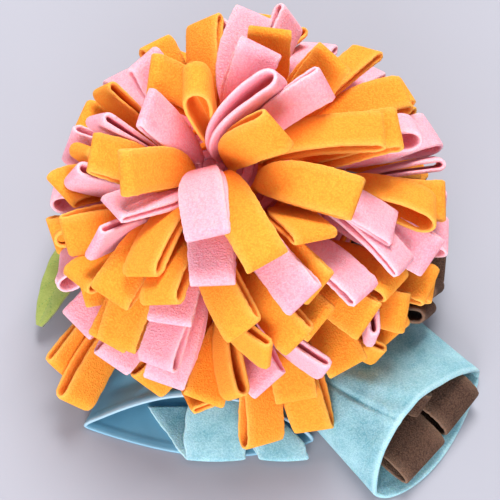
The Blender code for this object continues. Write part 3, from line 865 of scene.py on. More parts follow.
# %% Play the game
def all_obstacles():
    """The solids that the loops have to miss, in the order in which they are set out."""
    shapes = [pocket_shape(), sleeve_shape()]
    shapes += [strip_shape(path) for name, path in STRIP_PATHS]
    shapes += [leaf_shape(), dome_mesh()]
    for backing, loops in (sleeve_loops(), side_loops()):
        shapes += [petal_mesh(loop) for loop in loops]
    return [as_neighbour(*shape) for shape in shapes]


petals = fit_petals(all_obstacles())
print("loops placed on the dome:", len(petals))

# %% [markdown]
# ## How a strip of fleece is shown
#
# A loop is a strip of fleece, folded in two and caught at both ends by the seam of its row. It
# could be a thickened plane, but the cut edges of fleece are soft and round, so each strip here
# is a flat section with rounded edges that is carried along a path. The path runs from the root
# up one leg, round the fold and down the other leg. No two strips lie alike, so each gets its own
# small faults: a skewed fold, a twist, a cupped face and a wavy cut.

# %% The section of a strip
# Columns: share of the half width, share of the half thickness
STRIP_SECTION = (
    (-1.0, 0.0), (-0.985, 0.6), (-0.93, 0.94), (-0.6, 1.0), (-0.2, 1.0),
    (0.2, 1.0), (0.6, 1.0), (0.93, 0.94), (0.985, 0.6),
    (1.0, 0.0), (0.985, -0.6), (0.93, -0.94), (0.6, -1.0), (0.2, -1.0),
    (-0.2, -1.0), (-0.6, -1.0), (-0.93, -0.94), (-0.985, -0.6),
)
LOOP_STATIONS = 70
LEG_SAMPLES = 90
FOLD_SAMPLES = 40


def cut_edges(stations):
    """One on both cut edges of a strip and near zero over its faces, at every station."""
    return np.tile(np.abs(np.array(STRIP_SECTION)[:, 0]) ** 14, stations)


def squared(vectors, runs):
    """The part of each vector that is square to its run, at unit length."""
    return units(vectors - runs * np.einsum("ij,ij->i", vectors, runs)[:, None])


def carried(path, widths, halves, thick, cup, wave, square=True):
    """A strip's skin: STRIP_SECTION carried along a path.

    Each point is path + width * x + normal * z, where x is the section's share of the half width
    and z its share of the half thickness, plus a shallow bowl of depth cup across the strip. wave
    is a small change of the half width at each station, the same on both cut edges. Where square
    is off, the strip is cut at a slant: its sections keep their direction.
    """
    runs = units(np.gradient(path, axis=0))
    if square:
        widths = squared(widths, runs)
    normals = units(np.cross(widths, runs))
    section = np.array(STRIP_SECTION)
    x = section[None, :, 0] * (halves + wave)[:, None]
    bowl = cup[:, None] * (section[None, :, 0] ** 2 - 0.33)
    z = section[None, :, 1] * thick + bowl
    points = path[:, None] + widths[:, None] * x[..., None] + normals[:, None] * z[..., None]
    return points.reshape(-1, 3)


def skin_faces(rows, columns):
    """Quads of a closed skin whose two ends are shut by one face each."""
    r = np.arange(rows - 1)[:, None] * columns
    c = np.arange(columns)[None, :]
    n = (np.arange(columns)[None, :] + 1) % columns
    quads = np.stack((r + c, r + n, r + columns + n, r + columns + c), axis=-1).reshape(-1, 4)
    first = tuple(range(columns - 1, -1, -1))
    last = tuple((rows - 1) * columns + i for i in range(columns))
    return [tuple(quad) for quad in quads.tolist()] + [first, last]


# %% Small faults of a strip
def strip_faults(dice):
    """Skew of the fold, twist, cup, edge wave and shade of one strip, from a seeded dice."""
    return {
        "skew": dice.uniform(-1.7, 1.7),
        "twist": math.radians(dice.uniform(-9, 9)),
        "cup": dice.uniform(-0.9, 0.9),
        "phase": dice.uniform(0, 6.28),
        "shade": dice.uniform(0, 1),
        "seed": int(dice.integers(1 << 30)),
    }


# %% How far along a line
def distances(line):
    """Distance from the start of a line to each of its points."""
    return np.concatenate(((0.0,), np.cumsum(np.linalg.norm(np.diff(line, axis=0), axis=1))))


def at_distances(wanted, far, line):
    """The line read at the wanted distances."""
    return np.stack([np.interp(wanted, far, line[:, i]) for i in range(3)], axis=1)


# %% The path of a folded loop
def folded_path(petal, faults):
    """Path, width directions and half widths along one loop, evenly spaced.

    The middle line is a quadratic curve from the root, by a knee on the normal, to the tip. Each
    leg stands off it by half the gape, reached at four fifths of the way, and a half circle joins
    the two legs at the fold.
    """
    root, tip = petal["root"], petal["tip"]
    length = np.linalg.norm(tip - root)
    knee, rolled = knee_of(petal), width_of(petal)
    seam = 0.5 * FLEECE + SEAM_ROOM
    half = max(seam, 0.5 * petal["gape"])
    cap = min(0.3, half / length)
    leg = np.linspace(0.0, 1.0 - cap, LEG_SAMPLES)
    open_up = seam + (half - seam) * np.clip(leg / 0.8, 0, 1) ** 1.6
    bend = np.linspace(0.0, math.pi, FOLD_SAMPLES)[1:-1]
    t = np.concatenate((leg, 1.0 - cap + cap * np.sin(bend), leg[::-1]))
    stand = np.concatenate((open_up, open_up[-1] * np.cos(bend), -open_up[::-1]))
    line = root * (1 - t)[:, None] ** 2 + knee * (2 * t * (1 - t))[:, None] + tip * t[:, None] ** 2
    along = units((knee - root) * (1 - t)[:, None] + (tip - knee) * t[:, None])
    widths = squared(np.broadcast_to(rolled, along.shape), along)
    out = np.cross(widths, along)
    turn = (faults["twist"] * np.sin(0.5 * math.pi * t))[:, None]
    widths = widths * np.cos(turn) + out * np.sin(turn)
    out = np.cross(widths, along)
    slip = faults["skew"] * np.sin(math.pi * t) * np.sign(stand)
    path = line + out * stand[:, None] + widths * slip[:, None]
    far = distances(path)
    even = np.linspace(0.0, far[-1], LOOP_STATIONS)
    path = at_distances(even, far, path)
    widths = units(at_distances(even, far, widths))
    share = np.interp(even, far, t)
    grow = 1.0 - (1.0 - np.clip(share / 0.7, 0, 1)) ** 2
    slim = petal["root_width"]
    halves = 0.5 * (slim + (petal["width"] - slim) * grow)
    return path, widths, halves, share, far[-1]


# %% One loop as a skin
# Depth on a loop's inner face: a low depth paints shade into the loop's hollow
INNER_FACE_DEPTH = 0.3


def loop_skin(petal, faults):
    """A loop's skin with its shade, its place from root to tip and its closeness to a cut edge."""
    path, widths, halves, share, length = folded_path(petal, faults)
    dice = np.random.default_rng(faults["seed"])
    rough = dice.normal(0, 0.16, LOOP_STATIONS)
    wave = 0.35 * np.sin(share * 9 + faults["phase"]) * share + rough * share
    cup = faults["cup"] * np.sin(math.pi * share) ** 0.5
    points = carried(path, widths, halves, 0.5 * FLEECE, cup, wave)
    section = np.array(STRIP_SECTION)
    # Depth grows from root to tip and is lower on the inner face, so the nap paints shade towards
    # the root and inside the loop
    outside = np.where(section[:, 1] < 0, INNER_FACE_DEPTH, 1.0)
    depth = (share[:, None] * outside).reshape(-1)
    shade = np.full(len(points), faults["shade"])
    faces = skin_faces(LOOP_STATIONS, len(section))
    return points, faces, cut_edges(LOOP_STATIONS), depth, shade, length


# %% Joining skins into a piece
def piece_from(name, skins, finish):
    """One object at the origin from skins of (points, faces, edge, depth, shade)."""
    points = np.concatenate([skin[0] for skin in skins])
    starts = np.cumsum([0] + [len(skin[0]) for skin in skins])
    faces = []
    for start, skin in zip(starts.tolist(), skins):
        faces += [tuple(start + i for i in face) for face in skin[1]]
    mesh = bpy.data.meshes.new(name)
    mesh.from_pydata(metres(points).tolist(), [], faces)
    for number, kind in ((2, "cut_edge"), (3, "depth"), (4, "shade")):
        layer = mesh.attributes.new(kind, "FLOAT", "POINT")
        layer.data.foreach_set("value", np.concatenate([skin[number] for skin in skins]))
    work = bmesh.new()
    work.from_mesh(mesh)
    bmesh.ops.recalc_face_normals(work, faces=work.faces[:])
    work.to_mesh(mesh)
    work.free()
    mesh.polygons.foreach_set("use_smooth", [True] * len(mesh.polygons))
    mesh.materials.append(finish)
    piece = bpy.data.objects.new(name, mesh)
    bpy.context.collection.objects.link(piece)
    return piece


def plain_skin(points, faces, edge=None, depth=1.0, shade=0.5):
    """A skin whose depth and shade are the same all over."""
    count = len(points)
    if edge is None:
        edge = np.zeros(count)
    return points, faces, edge, np.full(count, depth), np.full(count, shade)


# %% [markdown]
# ## The finishes
#
# Polar fleece is knitted, then brushed and shorn on both sides, so its face is a fine pebbled nap
# that scatters light: it looks soft because its edges catch light that a flat dye would not. That
# light is painted into the colour here: a painted highlight on the cut edges, and painted shade
# between the pebbles and down in the loops. The nap is one effect that five finishes share, so it
# is a node group. It gives out only a colour and a height. The shader, its roughness and its sheen
# stay in each material.

# %% Node helpers
def join(tree, source, target):
    tree.links.new(source, target)


def add_node(tree, kind, **values):
    """A node with its properties set, and its inputs set by name where they are sockets."""
    node = tree.nodes.new(kind)
    for key, value in values.items():
        name = key.replace("_", " ")
        if hasattr(node, key):
            setattr(node, key, value)
        else:
            node.inputs[name].default_value = value
    return node


def feed(tree, target, value):
    """Joins a socket to the target, or gives the target a plain value."""
    if isinstance(value, bpy.types.NodeSocket):
        join(tree, value, target)
    else:
        target.default_value = value


def blend_colours(tree, factor, first, second):
    """A colour Mix node; each argument is a socket or a value."""
    node = tree.nodes.new("ShaderNodeMix")
    node.data_type = "RGBA"
    for socket, value in ((0, factor), (6, first), (7, second)):
        feed(tree, node.inputs[socket], value)
    return node.outputs[2]


def maths(tree, operation, first, second):
    """A Math node; each argument is a socket or a number."""
    node = add_node(tree, "ShaderNodeMath", operation=operation)
    feed(tree, node.inputs[0], first)
    feed(tree, node.inputs[1], second)
    return node.outputs[0]


def spread(tree, value, low, high, new_low=0.0, new_high=1.0):
    """Map Range, clamped, from low..high to new_low..new_high."""
    node = tree.nodes.new("ShaderNodeMapRange")
    join(tree, value, node.inputs["Value"])
    node.inputs["From Min"].default_value = low
    node.inputs["From Max"].default_value = high
    node.inputs["To Min"].default_value = new_low
    node.inputs["To Max"].default_value = new_high
    return node.outputs["Result"]


# %% Where a pattern is read, and what it does to the shader
def object_place(tree):
    return tree.nodes.new("ShaderNodeTexCoord").outputs["Object"]


def noise_at(tree, place, **values):
    node = add_node(tree, "ShaderNodeTexNoise", **values)
    join(tree, place, node.inputs["Vector"])
    return node


def attribute_of(tree, name):
    return add_node(tree, "ShaderNodeAttribute", attribute_name=name).outputs["Fac"]


def new_finish(name):
    """A new material, its node tree and its Principled shader."""
    made = bpy.data.materials.new(name)
    made.use_nodes = True
    return made, made.node_tree, made.node_tree.nodes["Principled BSDF"]


def add_relief(tree, shader, height, strength, distance):
    """A Bump node from a height to the shader's normal."""
    relief = add_node(tree, "ShaderNodeBump", Strength=strength, Distance=distance)
    join(tree, height, relief.inputs["Height"])
    join(tree, relief.outputs["Normal"], shader.inputs["Normal"])


# %% The nap of fleece
NAP_WARP = 0.0007
FUZZ_SHARE = 0.45
DYE_SPREAD = 0.16
# Strength of the painted highlight on cut edges
EDGE_HIGHLIGHT = 0.6


def fleece_nap():
    """Pebbles a little over 1 mm across with fuzz between them, in Object coordinates.

    Height is the pebbles' roundness plus fine noise. Colour is deep between the pebbles and down
    in the loops, as painted shade, pale on the cut edges, as a painted highlight, and drifts slowly
    over the cloth.
    """
    tree = bpy.data.node_groups.new("fleece_nap", "ShaderNodeTree")
    sockets = tree.interface
    for name in ("Colour", "Deep", "Pale"):
        sockets.new_socket(name=name, in_out="INPUT", socket_type="NodeSocketColor")
    for name in ("Grain", "Mottle", "Patches", "Edge", "Shade", "Depth"):
        sockets.new_socket(name=name, in_out="INPUT", socket_type="NodeSocketFloat")
    sockets.new_socket(name="Colour", in_out="OUTPUT", socket_type="NodeSocketColor")
    sockets.new_socket(name="Height", in_out="OUTPUT", socket_type="NodeSocketFloat")
    given = tree.nodes.new("NodeGroupInput")
    result = tree.nodes.new("NodeGroupOutput")
    place = object_place(tree)
    warp = noise_at(tree, place, Scale=380.0, Detail=1.0)
    shifted = tree.nodes.new("ShaderNodeVectorMath")
    shifted.operation = "MULTIPLY_ADD"
    join(tree, warp.outputs["Color"], shifted.inputs[0])
    shifted.inputs[1].default_value = (NAP_WARP, NAP_WARP, NAP_WARP)
    join(tree, place, shifted.inputs[2])
    pebble = add_node(tree, "ShaderNodeTexVoronoi", feature="SMOOTH_F1", Smoothness=0.6)
    join(tree, shifted.outputs[0], pebble.inputs["Vector"])
    join(tree, given.outputs["Grain"], pebble.inputs["Scale"])
    fuzz = noise_at(tree, place, Scale=1700.0, Detail=2.0, Roughness=0.6)
    drift = noise_at(tree, place, Scale=55.0, Detail=4.0, Roughness=0.6)
    round_top = spread(tree, pebble.outputs["Distance"], 0.1, 0.75, 1.0, 0.0)
    fuzz_high = spread(tree, fuzz.outputs["Fac"], 0.3, 0.7)
    high = maths(tree, "MULTIPLY", round_top, 1.0 - FUZZ_SHARE)
    low = maths(tree, "MULTIPLY", fuzz_high, FUZZ_SHARE)
    height = maths(tree, "ADD", high, low)
    join(tree, height, result.inputs["Height"])
    # Painted shade between the pebbles: where the nap is low, the colour goes towards the deep one
    lit = spread(tree, height, 0.15, 0.75)
    pit_shade = maths(tree, "MULTIPLY", maths(tree, "SUBTRACT", 1.0, lit), given.outputs["Mottle"])
    drifting = spread(tree, drift.outputs["Fac"], 0.35, 0.7)
    slow = maths(tree, "MULTIPLY", drifting, given.outputs["Patches"])
    both = maths(tree, "ADD", pit_shade, slow)
    # Painted shade down in the loops: a low Depth blends the colour towards the deep one
    hollow_shade = spread(tree, given.outputs["Depth"], 0.0, 0.75, 0.55, 0.0)
    spots = maths(tree, "ADD", both, hollow_shade)
    dye = maths(tree, "MULTIPLY", given.outputs["Shade"], DYE_SPREAD)
    tone = maths(tree, "ADD", spots, dye)
    body = blend_colours(tree, tone, given.outputs["Colour"], given.outputs["Deep"])
    # Painted highlight: the cut edges blend towards the pale colour
    rim = maths(tree, "MULTIPLY", given.outputs["Edge"], EDGE_HIGHLIGHT)
    join(tree, blend_colours(tree, rim, body, given.outputs["Pale"]), result.inputs["Colour"])
    return tree


NAP = fleece_nap()

# %% A fleece finish
def fleece(name, colour, deep, pale, grain=820.0, mottle_and_pit_shade=0.65, bump=0.6, sheen=0.25,
           patches=0.14):
    """A fleece of one dye: its own colour, a deep one for painted shade in its hollows and between
    its pebbles and for its slow patches, and a pale one for a painted highlight on its cut edges.

    Light enters the nap and comes out again nearby, so the shader has a little subsurface too.
    """
    made, tree, shader = new_finish(name)
    nap = tree.nodes.new("ShaderNodeGroup")
    nap.node_tree = NAP
    nap.inputs["Colour"].default_value = (*colour, 1.0)
    nap.inputs["Deep"].default_value = (*deep, 1.0)
    nap.inputs["Pale"].default_value = (*pale, 1.0)
    nap.inputs["Grain"].default_value = grain
    nap.inputs["Mottle"].default_value = mottle_and_pit_shade
    nap.inputs["Patches"].default_value = patches
    for kind, socket in (("cut_edge", "Edge"), ("shade", "Shade"), ("depth", "Depth")):
        join(tree, attribute_of(tree, kind), nap.inputs[socket])
    join(tree, nap.outputs["Colour"], shader.inputs["Base Color"])
    add_relief(tree, shader, nap.outputs["Height"], bump, 0.0009)
    shader.inputs["Roughness"].default_value = 0.95
    shader.inputs["Specular IOR Level"].default_value = 0.15
    shader.inputs["Sheen Weight"].default_value = sheen
    shader.inputs["Sheen Roughness"].default_value = 0.45
    shader.inputs["Sheen Tint"].default_value = (*pale, 1.0)
    shader.inputs["Subsurface Weight"].default_value = 0.35
    shader.inputs["Subsurface Radius"].default_value = (1.0, 0.55, 0.3)
    shader.inputs["Subsurface Scale"].default_value = 0.002
    return made


# %% The dyes
ORANGE = fleece("orange_nap", (0.96, 0.39, 0.043), (0.96, 0.22, 0.018), (0.98, 0.53, 0.13))
PINK = fleece("pink_nap", (0.92, 0.47, 0.56), (0.92, 0.27, 0.34), (0.97, 0.64, 0.71))
AQUA = fleece("light_blue_nap", (0.39, 0.63, 0.69), (0.12, 0.32, 0.39), (0.58, 0.8, 0.84),
              grain=950.0, mottle_and_pit_shade=0.5, bump=0.4, patches=0.55)
BROWN = fleece("brown_nap", (0.142, 0.074, 0.049), (0.034, 0.017, 0.012), (0.31, 0.19, 0.13),
               grain=1050.0, mottle_and_pit_shade=0.8, bump=0.8, sheen=0.08)
print("fleeces:", ", ".join(m.name for m in (ORANGE, PINK, AQUA, BROWN)))

# %% [markdown]
# ## Rows of loops
#
# Each row of the solid model is a ring of loops on one tape. The dressed row is made the same way:
# the tape is a narrow band sewn round the dome, and the loops of one colour grow from it. One row
# is one piece, so the whole flower is sixteen pieces and not one for each of its loops.

# %% The smooth dome under the rows
LOOK_RADIUS = 69.3


def dome_points(edge, azimuth, proud=0.0):
    """Points of the smooth dome, edge counted from the crown as the dome's rings are.

    Above the skirt a point is centre + radius * aim(polar, azimuth). On the skirt it is the
    straight line from there to the foot circle. proud lifts it off the cloth.
    """
    edge, azimuth = np.broadcast_arrays(np.asarray(edge, float), np.radians(azimuth))
    polar = np.radians(FIRST_RING + RING_STEP * (np.minimum(edge, SKIRT) - 0.5))
    lean = np.maximum(0.0, np.cos(polar))
    x = np.sin(polar) * np.cos(azimuth) + CROWN_LEAN[0] * lean
    y = np.sin(polar) * np.sin(azimuth) + CROWN_LEAN[1] * lean
    ways = np.stack((x, y, np.cos(polar)), axis=-1)
    ways /= np.linalg.norm(ways, axis=-1, keepdims=True)
    upper = DOME_CENTRE + (LOOK_RADIUS + proud) * ways
    reach = DOME_FOOT_RADIUS - 0.5 + proud
    foot = np.stack((reach * np.cos(azimuth), reach * np.sin(azimuth),
                     np.full(azimuth.shape, PANEL_THICKNESS + TOUCH_GAP)), axis=-1)
    share = np.clip(edge - SKIRT, 0, 1)[..., None]
    return upper * (1 - share) + foot * share


# %% The tape of a row
TAPE_EDGE = np.array(((-1, 0.0), (-0.96, 0.75), (-0.7, 1.0), (0.0, 1.05), (0.7, 1.0), (0.96, 0.75),
                      (1, 0.0), (0.9, -0.6), (-0.9, -0.6)))
TAPE_HEIGHT = 1.6
# Along the dome, for each degree of polar angle
MM_PER_DEGREE = 1.22


def tape_skin(middle, azimuths, closed):
    """A band round the dome at edge number middle: TAPE_EDGE carried along the azimuths."""
    half = 0.5 * TAPE_WIDTH / RING_STEP / MM_PER_DEGREE
    edge = middle + half * TAPE_EDGE[None, :, 0]
    points = dome_points(edge, azimuths[:, None], 0.0)
    lifted = dome_points(edge, azimuths[:, None], TAPE_HEIGHT)
    points = points + (lifted - points) * TAPE_EDGE[None, :, 1:]
    count = len(azimuths)
    if closed:
        faces = grid_faces(count, len(TAPE_EDGE), closed_rows=True, closed_columns=True)
    else:
        faces = skin_faces(count, len(TAPE_EDGE))
    # Depth zero gives the tape the nap's full painted shade
    return plain_skin(points.reshape(-1, 3), faces, depth=0.0)


# %% Making the rows
looks = np.random.default_rng(5)
cloth_pieces = {}


def loops_with(band, name, loops, finish):
    """A piece of loops and the tape that holds them, and the length of each loop's strip."""
    made = [loop_skin(loop, strip_faults(looks)) for loop in loops]
    piece = piece_from(name, [skin[:5] for skin in made] + [band], finish)
    return piece, [skin[5] for skin in made]


def declare_loops(piece, lengths, node):
    """Hangs the piece on the root, hides its solid, and notes its strips' number and length."""
    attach(piece, "root")
    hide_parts(node)
    cloth_pieces[piece.name] = (len(lengths), sum(lengths))


def row_cloth(ring, colour, finish):
    """One dressed row: its loops and its tape as one piece."""
    name = f"{colour}_row_{ring + 1}"
    loops = [petal for petal in petals if petal["ring"] == ring and petal["colour"] == colour]
    band = tape_skin(ring + row_share(colour), np.arange(96) * 3.75, True)
    piece, lengths = loops_with(band, f"{name}_loops", loops, finish)
    declare_loops(piece, lengths, name)


for ring in range(len(PETALS)):
    for colour, finish in (("pink", PINK), ("orange", ORANGE)):
        row_cloth(ring, colour, finish)
counts, ribbons = zip(*cloth_pieces.values())
print("rows of loops:", len(counts), "with", sum(counts), "loops")
print("ribbon folded into them:", round(sum(ribbons) * MM, 1), "m")

# %% Brown loops in the sleeve and at the side
def slab_skin(corners, rounding=0.5):
    """A flat strip of cloth lying on the sleeve's floor, from its eight corners."""
    low = corners[:4]
    high = corners[4:]
    middle = corners.mean(axis=0)
    rings = []
    for share, pull in ((0.0, rounding), (0.25, 0.0), (0.75, 0.0), (1.0, rounding)):
        ring_points = low * (1 - share) + high * share
        inward = units((middle - ring_points) * np.array((1.0, 1.0, 0.0)))
        rings.append(ring_points + inward * pull)
    # Depth zero gives the strip the nap's full painted shade
    return plain_skin(np.concatenate(rings), skin_faces(4, 4), depth=0.0)


(slab, _), loops = sleeve_loops()
piece, lengths = loops_with(slab_skin(slab), "sleeve_strip_loops", loops, BROWN)
declare_loops(piece, lengths, "sleeve_strips")

_, loops = side_loops()
band = tape_skin(SKIRT + SIDE_TAPE_SHARE, np.linspace(*SIDE_TAPE, 33), False)
piece, lengths = loops_with(band, "brown_row_loops", loops, BROWN)
declare_loops(piece, lengths, "brown_row")
print("brown loops:", len(SLEEVE_LOOPS), "in the sleeve and", len(loops), "at the side")

# %% [markdown]
# ## The filled dome and the base cloth
#
# Under the loops is a dome of fleece, stuffed firm so that it keeps its shape, on a round of
# tough nylon. Little of either shows. The dome is one smooth surface through the same rings as
# the solid, and the base cloth is a flat profile turned round the middle.

# %% The dome
rows, columns = 64, 96
edges = np.linspace(0.0, SKIRT + 1.0, rows)[:, None]
points = dome_points(edges, (np.arange(columns) * 360.0 / columns)[None, :]).reshape(-1, 3)
DOME = fleece("dome_nap", (0.85, 0.32, 0.38), (0.72, 0.19, 0.24), (0.9, 0.5, 0.55))
# Depth zero gives the whole dome the nap's full painted shade, as it shows only in the hollows
# between loops
mound = piece_from("mound_cloth", [plain_skin(points, skin_faces(rows, columns), depth=0.0)], DOME)
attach(mound, "root")
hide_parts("mound")
print("dome:", [round(side / MM) for side in mound.dimensions], "mm")

# %% A profile turned round the middle
def turned(profile, columns):
    """A profile of (radius, height) turned about the Z axis: a circle from each of its points."""
    profile = np.array(profile, float)
    a = np.arange(columns) * 2 * math.pi / columns
    radius = np.broadcast_to(profile[:, :1], (len(profile), columns))
    height = np.broadcast_to(profile[:, 1:], radius.shape)
    points = np.stack((radius * np.cos(a), radius * np.sin(a), height), axis=-1)
    return points.reshape(-1, 3), skin_faces(len(profile), columns)


# %% [markdown]
# ## Woven nylon
#
# The pocket and the base cloth are nylon. It is a fine plain weave with a satin face, so light
# runs along it in soft bands and the weave itself is only felt close up. Two sets of ridges at
# right angles make the weave. They are a group, because two finishes share them.

# %% The weave
def fine_weave():
    """Two sine ridges at right angles in Object coordinates, one for each set of threads."""
    tree = bpy.data.node_groups.new("fine_weave", "ShaderNodeTree")
    tree.interface.new_socket(name="Threads", in_out="INPUT", socket_type="NodeSocketFloat")
    tree.interface.new_socket(name="Height", in_out="OUTPUT", socket_type="NodeSocketFloat")
    given = tree.nodes.new("NodeGroupInput")
    result = tree.nodes.new("NodeGroupOutput")
    place = object_place(tree)
    ridges = []
    for direction in ("X", "Y"):
        wave = add_node(tree, "ShaderNodeTexWave", bands_direction=direction, Distortion=0.4)
        join(tree, place, wave.inputs["Vector"])
        join(tree, given.outputs["Threads"], wave.inputs["Scale"])
        ridges.append(wave.outputs["Fac"])
    join(tree, maths(tree, "MULTIPLY", ridges[0], ridges[1]), result.inputs["Height"])
    return tree


WEAVE = fine_weave()


def nylon(name, colour, deep, roughness, threads, relief_depth):
    """Nylon of one dye, worn a little duller and deeper in slow patches, with a painted highlight:
    a pale cut edge.
    """
    made, tree, shader = new_finish(name)
    weave = tree.nodes.new("ShaderNodeGroup")
    weave.node_tree = WEAVE
    weave.inputs["Threads"].default_value = threads
    drift = noise_at(tree, object_place(tree), Scale=30.0, Detail=3.0).outputs["Fac"]
    worn = spread(tree, drift, 0.35, 0.7)
    body = blend_colours(tree, worn, (*colour, 1.0), (*deep, 1.0))
    pale = tuple(0.45 + 0.55 * part for part in colour)
    # Painted highlight: the cut edge blends towards a paler colour
    rim = maths(tree, "MULTIPLY", attribute_of(tree, "cut_edge"), 0.55)
    join(tree, blend_colours(tree, rim, body, (*pale, 1.0)), shader.inputs["Base Color"])
    dull = spread(tree, drift, 0.3, 0.7, roughness, roughness + 0.12)
    join(tree, dull, shader.inputs["Roughness"])
    add_relief(tree, shader, weave.outputs["Height"], 0.5, relief_depth)
    shader.inputs["Specular IOR Level"].default_value = 0.45
    shader.inputs["Sheen Weight"].default_value = 0.2
    shader.inputs["Sheen Roughness"].default_value = 0.3
    return made


# %% The base cloth
BASE = nylon("base_cloth", (0.1, 0.28, 0.4), (0.07, 0.22, 0.33), roughness=0.5,
             threads=420.0, relief_depth=0.0002)
rim = [(PANEL_RADIUS - 1.0 + math.sin(b), 1.0 - math.cos(b)) for b in np.linspace(0, math.pi, 9)]
flat_under = [(radius, 0.0) for radius in (1.0, 20.0, 45.0, 65.0, 78.0)]
flat_over = [(radius, PANEL_THICKNESS) for radius in (78.0, 65.0, 45.0, 20.0, 1.0)]
profile = flat_under + rim + flat_over
base = piece_from("base_cloth_round", [plain_skin(*turned(profile, 144))], BASE)
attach(base, "root")
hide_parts("backing_panel")

# %% [markdown]
# ## The two pouches
#
# The pocket and the sleeve are both flat tubes of cloth, closed at the back and open in front. A
# tube like that is one surface: its section is a closed line, across the floor, round one side
# fold, back over the top and round the other fold, and it runs from the back to the mouth. At the
# mouth the surface turns over the hem and runs back inside, so the cloth has its real thickness.
# A cloth simulation would only guess where this cloth wrinkles, so each crease is listed.

# %% The outer surface of a pouch
def pouch_section(columns, side_columns):
    """Share of the width and share of the height of each point on a pouch's closed section."""
    flat = np.linspace(0, 1, columns)
    side = np.linspace(0, 1, side_columns + 2)[1:-1]
    u = np.concatenate((flat, np.ones(side_columns), flat[::-1], np.zeros(side_columns)))
    w = np.concatenate((np.zeros(columns), side, np.ones(columns), side[::-1]))
    return u, w


def humped(u, peak):
    """Zero at both side folds and one at the share peak of the width."""
    return np.clip(np.sin(math.pi * u ** (math.log(0.5) / math.log(peak))), 0, 1) ** 0.8


def pouch_grid(size, u, w, v):
    """Points of a pouch's outer surface at every v and every (u, w)."""
    left = np.array((*size["left"], 0.0))
    right = np.array((*size["right"], 0.0))
    chord = unit(right - left)
    forward = np.array((chord[1], -chord[0], 0.0))
    a = np.radians(size["back"][0] + (size["back"][1] - size["back"][0]) * u)
    radius = PANEL_RADIUS + TOUCH_GAP
    start = np.stack((radius * np.cos(a), radius * np.sin(a), 0 * a), axis=-1)
    hump = humped(u, size["peak"])
    bulge = (size["lip"] * (1 - w) + size["hem"] * w) * hump
    end = left + (right - left) * u[:, None] + forward * bulge[:, None]
    points = start[None] + (end - start)[None] * v[:, None, None]
    rise = size["rise"][0] + (size["rise"][1] - size["rise"][0]) * v
    points[..., 2] = w * (size["fold"] + rise[:, None] * hump)
    return points


def rounded_section(points, times):
    """Rounds the side folds: each point moves to the mean of itself and its two neighbours."""
    for _ in range(times):
        points = 0.5 * points + 0.25 * (np.roll(points, 1, axis=1) + np.roll(points, -1, axis=1))
    return points


# %% Creases
def from_line(flat, start, end):
    """Share along a straight line of its point nearest to each given point, and the distance."""
    step = end - start
    share = np.clip((flat - start) @ step / (step @ step), 0, 1)
    return share, np.linalg.norm(flat - start - share[..., None] * step, axis=-1)


def crease_height(points, creases):
    """Sum of soft ridges (and troughs, where the height is below zero).

    Each is a bell across its line, exp(-(distance / width) ** 2), with both ends of the line
    rounded off, because distance is measured to the nearest point of the line.
    """
    flat = points[..., :2]
    total = np.zeros(flat.shape[:-1])
    for x0, y0, x1, y1, width, height in creases:
        share, away = from_line(flat, np.array((x0, y0)), np.array((x1, y1)))
        total += height * np.exp(-(away / width) ** 2) * (0.35 + 0.65 * np.sin(math.pi * share))
    return total


# %% Closeness to a seam
SEAM_WIDTH = 0.9


def seam_closeness(points, start, end):
    """One on the straight line from start to end on the plan, and a bell across it."""
    away = from_line(points[:, :2], start, end)[1]
    return np.exp(-(away / SEAM_WIDTH) ** 2)


# %% Cloth of real thickness round a mouth
def tube_skin(size, creases, seam=None, columns=88, side_columns=7, rows=64, rounding=10):
    """A pouch's whole skin: outside from back to mouth, over the hem, and inside back again."""
    u, w = pouch_section(columns, side_columns)
    v = np.linspace(0, 1, rows)
    outer = rounded_section(pouch_grid(size, u, w, v), rounding)
    top = np.clip(outer[..., 2] / np.maximum(outer[..., 2].max(axis=1, keepdims=True), 1e-6), 0, 1)
    outer[..., 2] += crease_height(outer, creases) * np.clip(2.0 * top, 0, 1) * w[None]
    along = np.gradient(outer, axis=0)
    around = np.roll(outer, -1, axis=1) - np.roll(outer, 1, axis=1)
    normals = np.cross(around, along)
    normals /= np.linalg.norm(normals, axis=-1, keepdims=True)
    if normals[rows // 2, columns + side_columns + columns // 2, 2] < 0:
        normals = -normals
    length = np.linalg.norm(outer[-1] - outer[0], axis=-1)
    to_mouth = length[None] * (1 - v[:, None])
    hem = size["hem_height"] / (1 + np.exp((to_mouth - size["hem_width"]) * 2.5))
    outer = outer + normals * (hem * w[None])[..., None]
    inner = outer - normals * (size["thick"] + 1.6 * hem)[..., None]
    half = 0.5 * (outer[-1] - inner[-1])
    middle = 0.5 * (outer[-1] + inner[-1])
    onward = along[-1] / np.linalg.norm(along[-1], axis=-1, keepdims=True)
    bend = np.linspace(0, math.pi, 7)[1:-1, None, None]
    deep = np.linalg.norm(half, axis=-1, keepdims=True)
    lips = middle[None] + half[None] * np.cos(bend) + (onward * deep)[None] * np.sin(bend)
    inside = inner[2:][::-1]
    whole = np.concatenate((outer, lips, inside))
    # The pale cut edge is a painted highlight: full on the lips of the mouth, fading inwards, and
    # scaled by rim from the floor side (w = 0) to the top (w = 1), where the hem catches light
    edge = np.concatenate((1 / (1 + np.exp((to_mouth - 1.2) * 4)), np.ones((len(lips), len(u))),
                           (1 / (1 + np.exp((to_mouth - 0.6) * 5)))[2:][::-1]))
    edge = edge * (size["rim"][0] + (size["rim"][1] - size["rim"][0]) * w)
    count = len(u)
    whole = whole.reshape(-1, 3)
    depth = np.ones(len(whole))
    if seam is not None:
        pressed = seam_closeness(outer.reshape(-1, 3), *seam) * np.tile(w, rows)
        depth[:rows * count] = 1 - 0.9 * pressed
    faces = skin_faces(len(whole) // count, count)
    skin = (whole, faces, edge.reshape(-1), depth, np.full(len(whole), 0.3))
    return skin, outer, normals, length, u, w


# %% Stitches
STITCH_SIDES = 6
STITCH_RINGS = 6


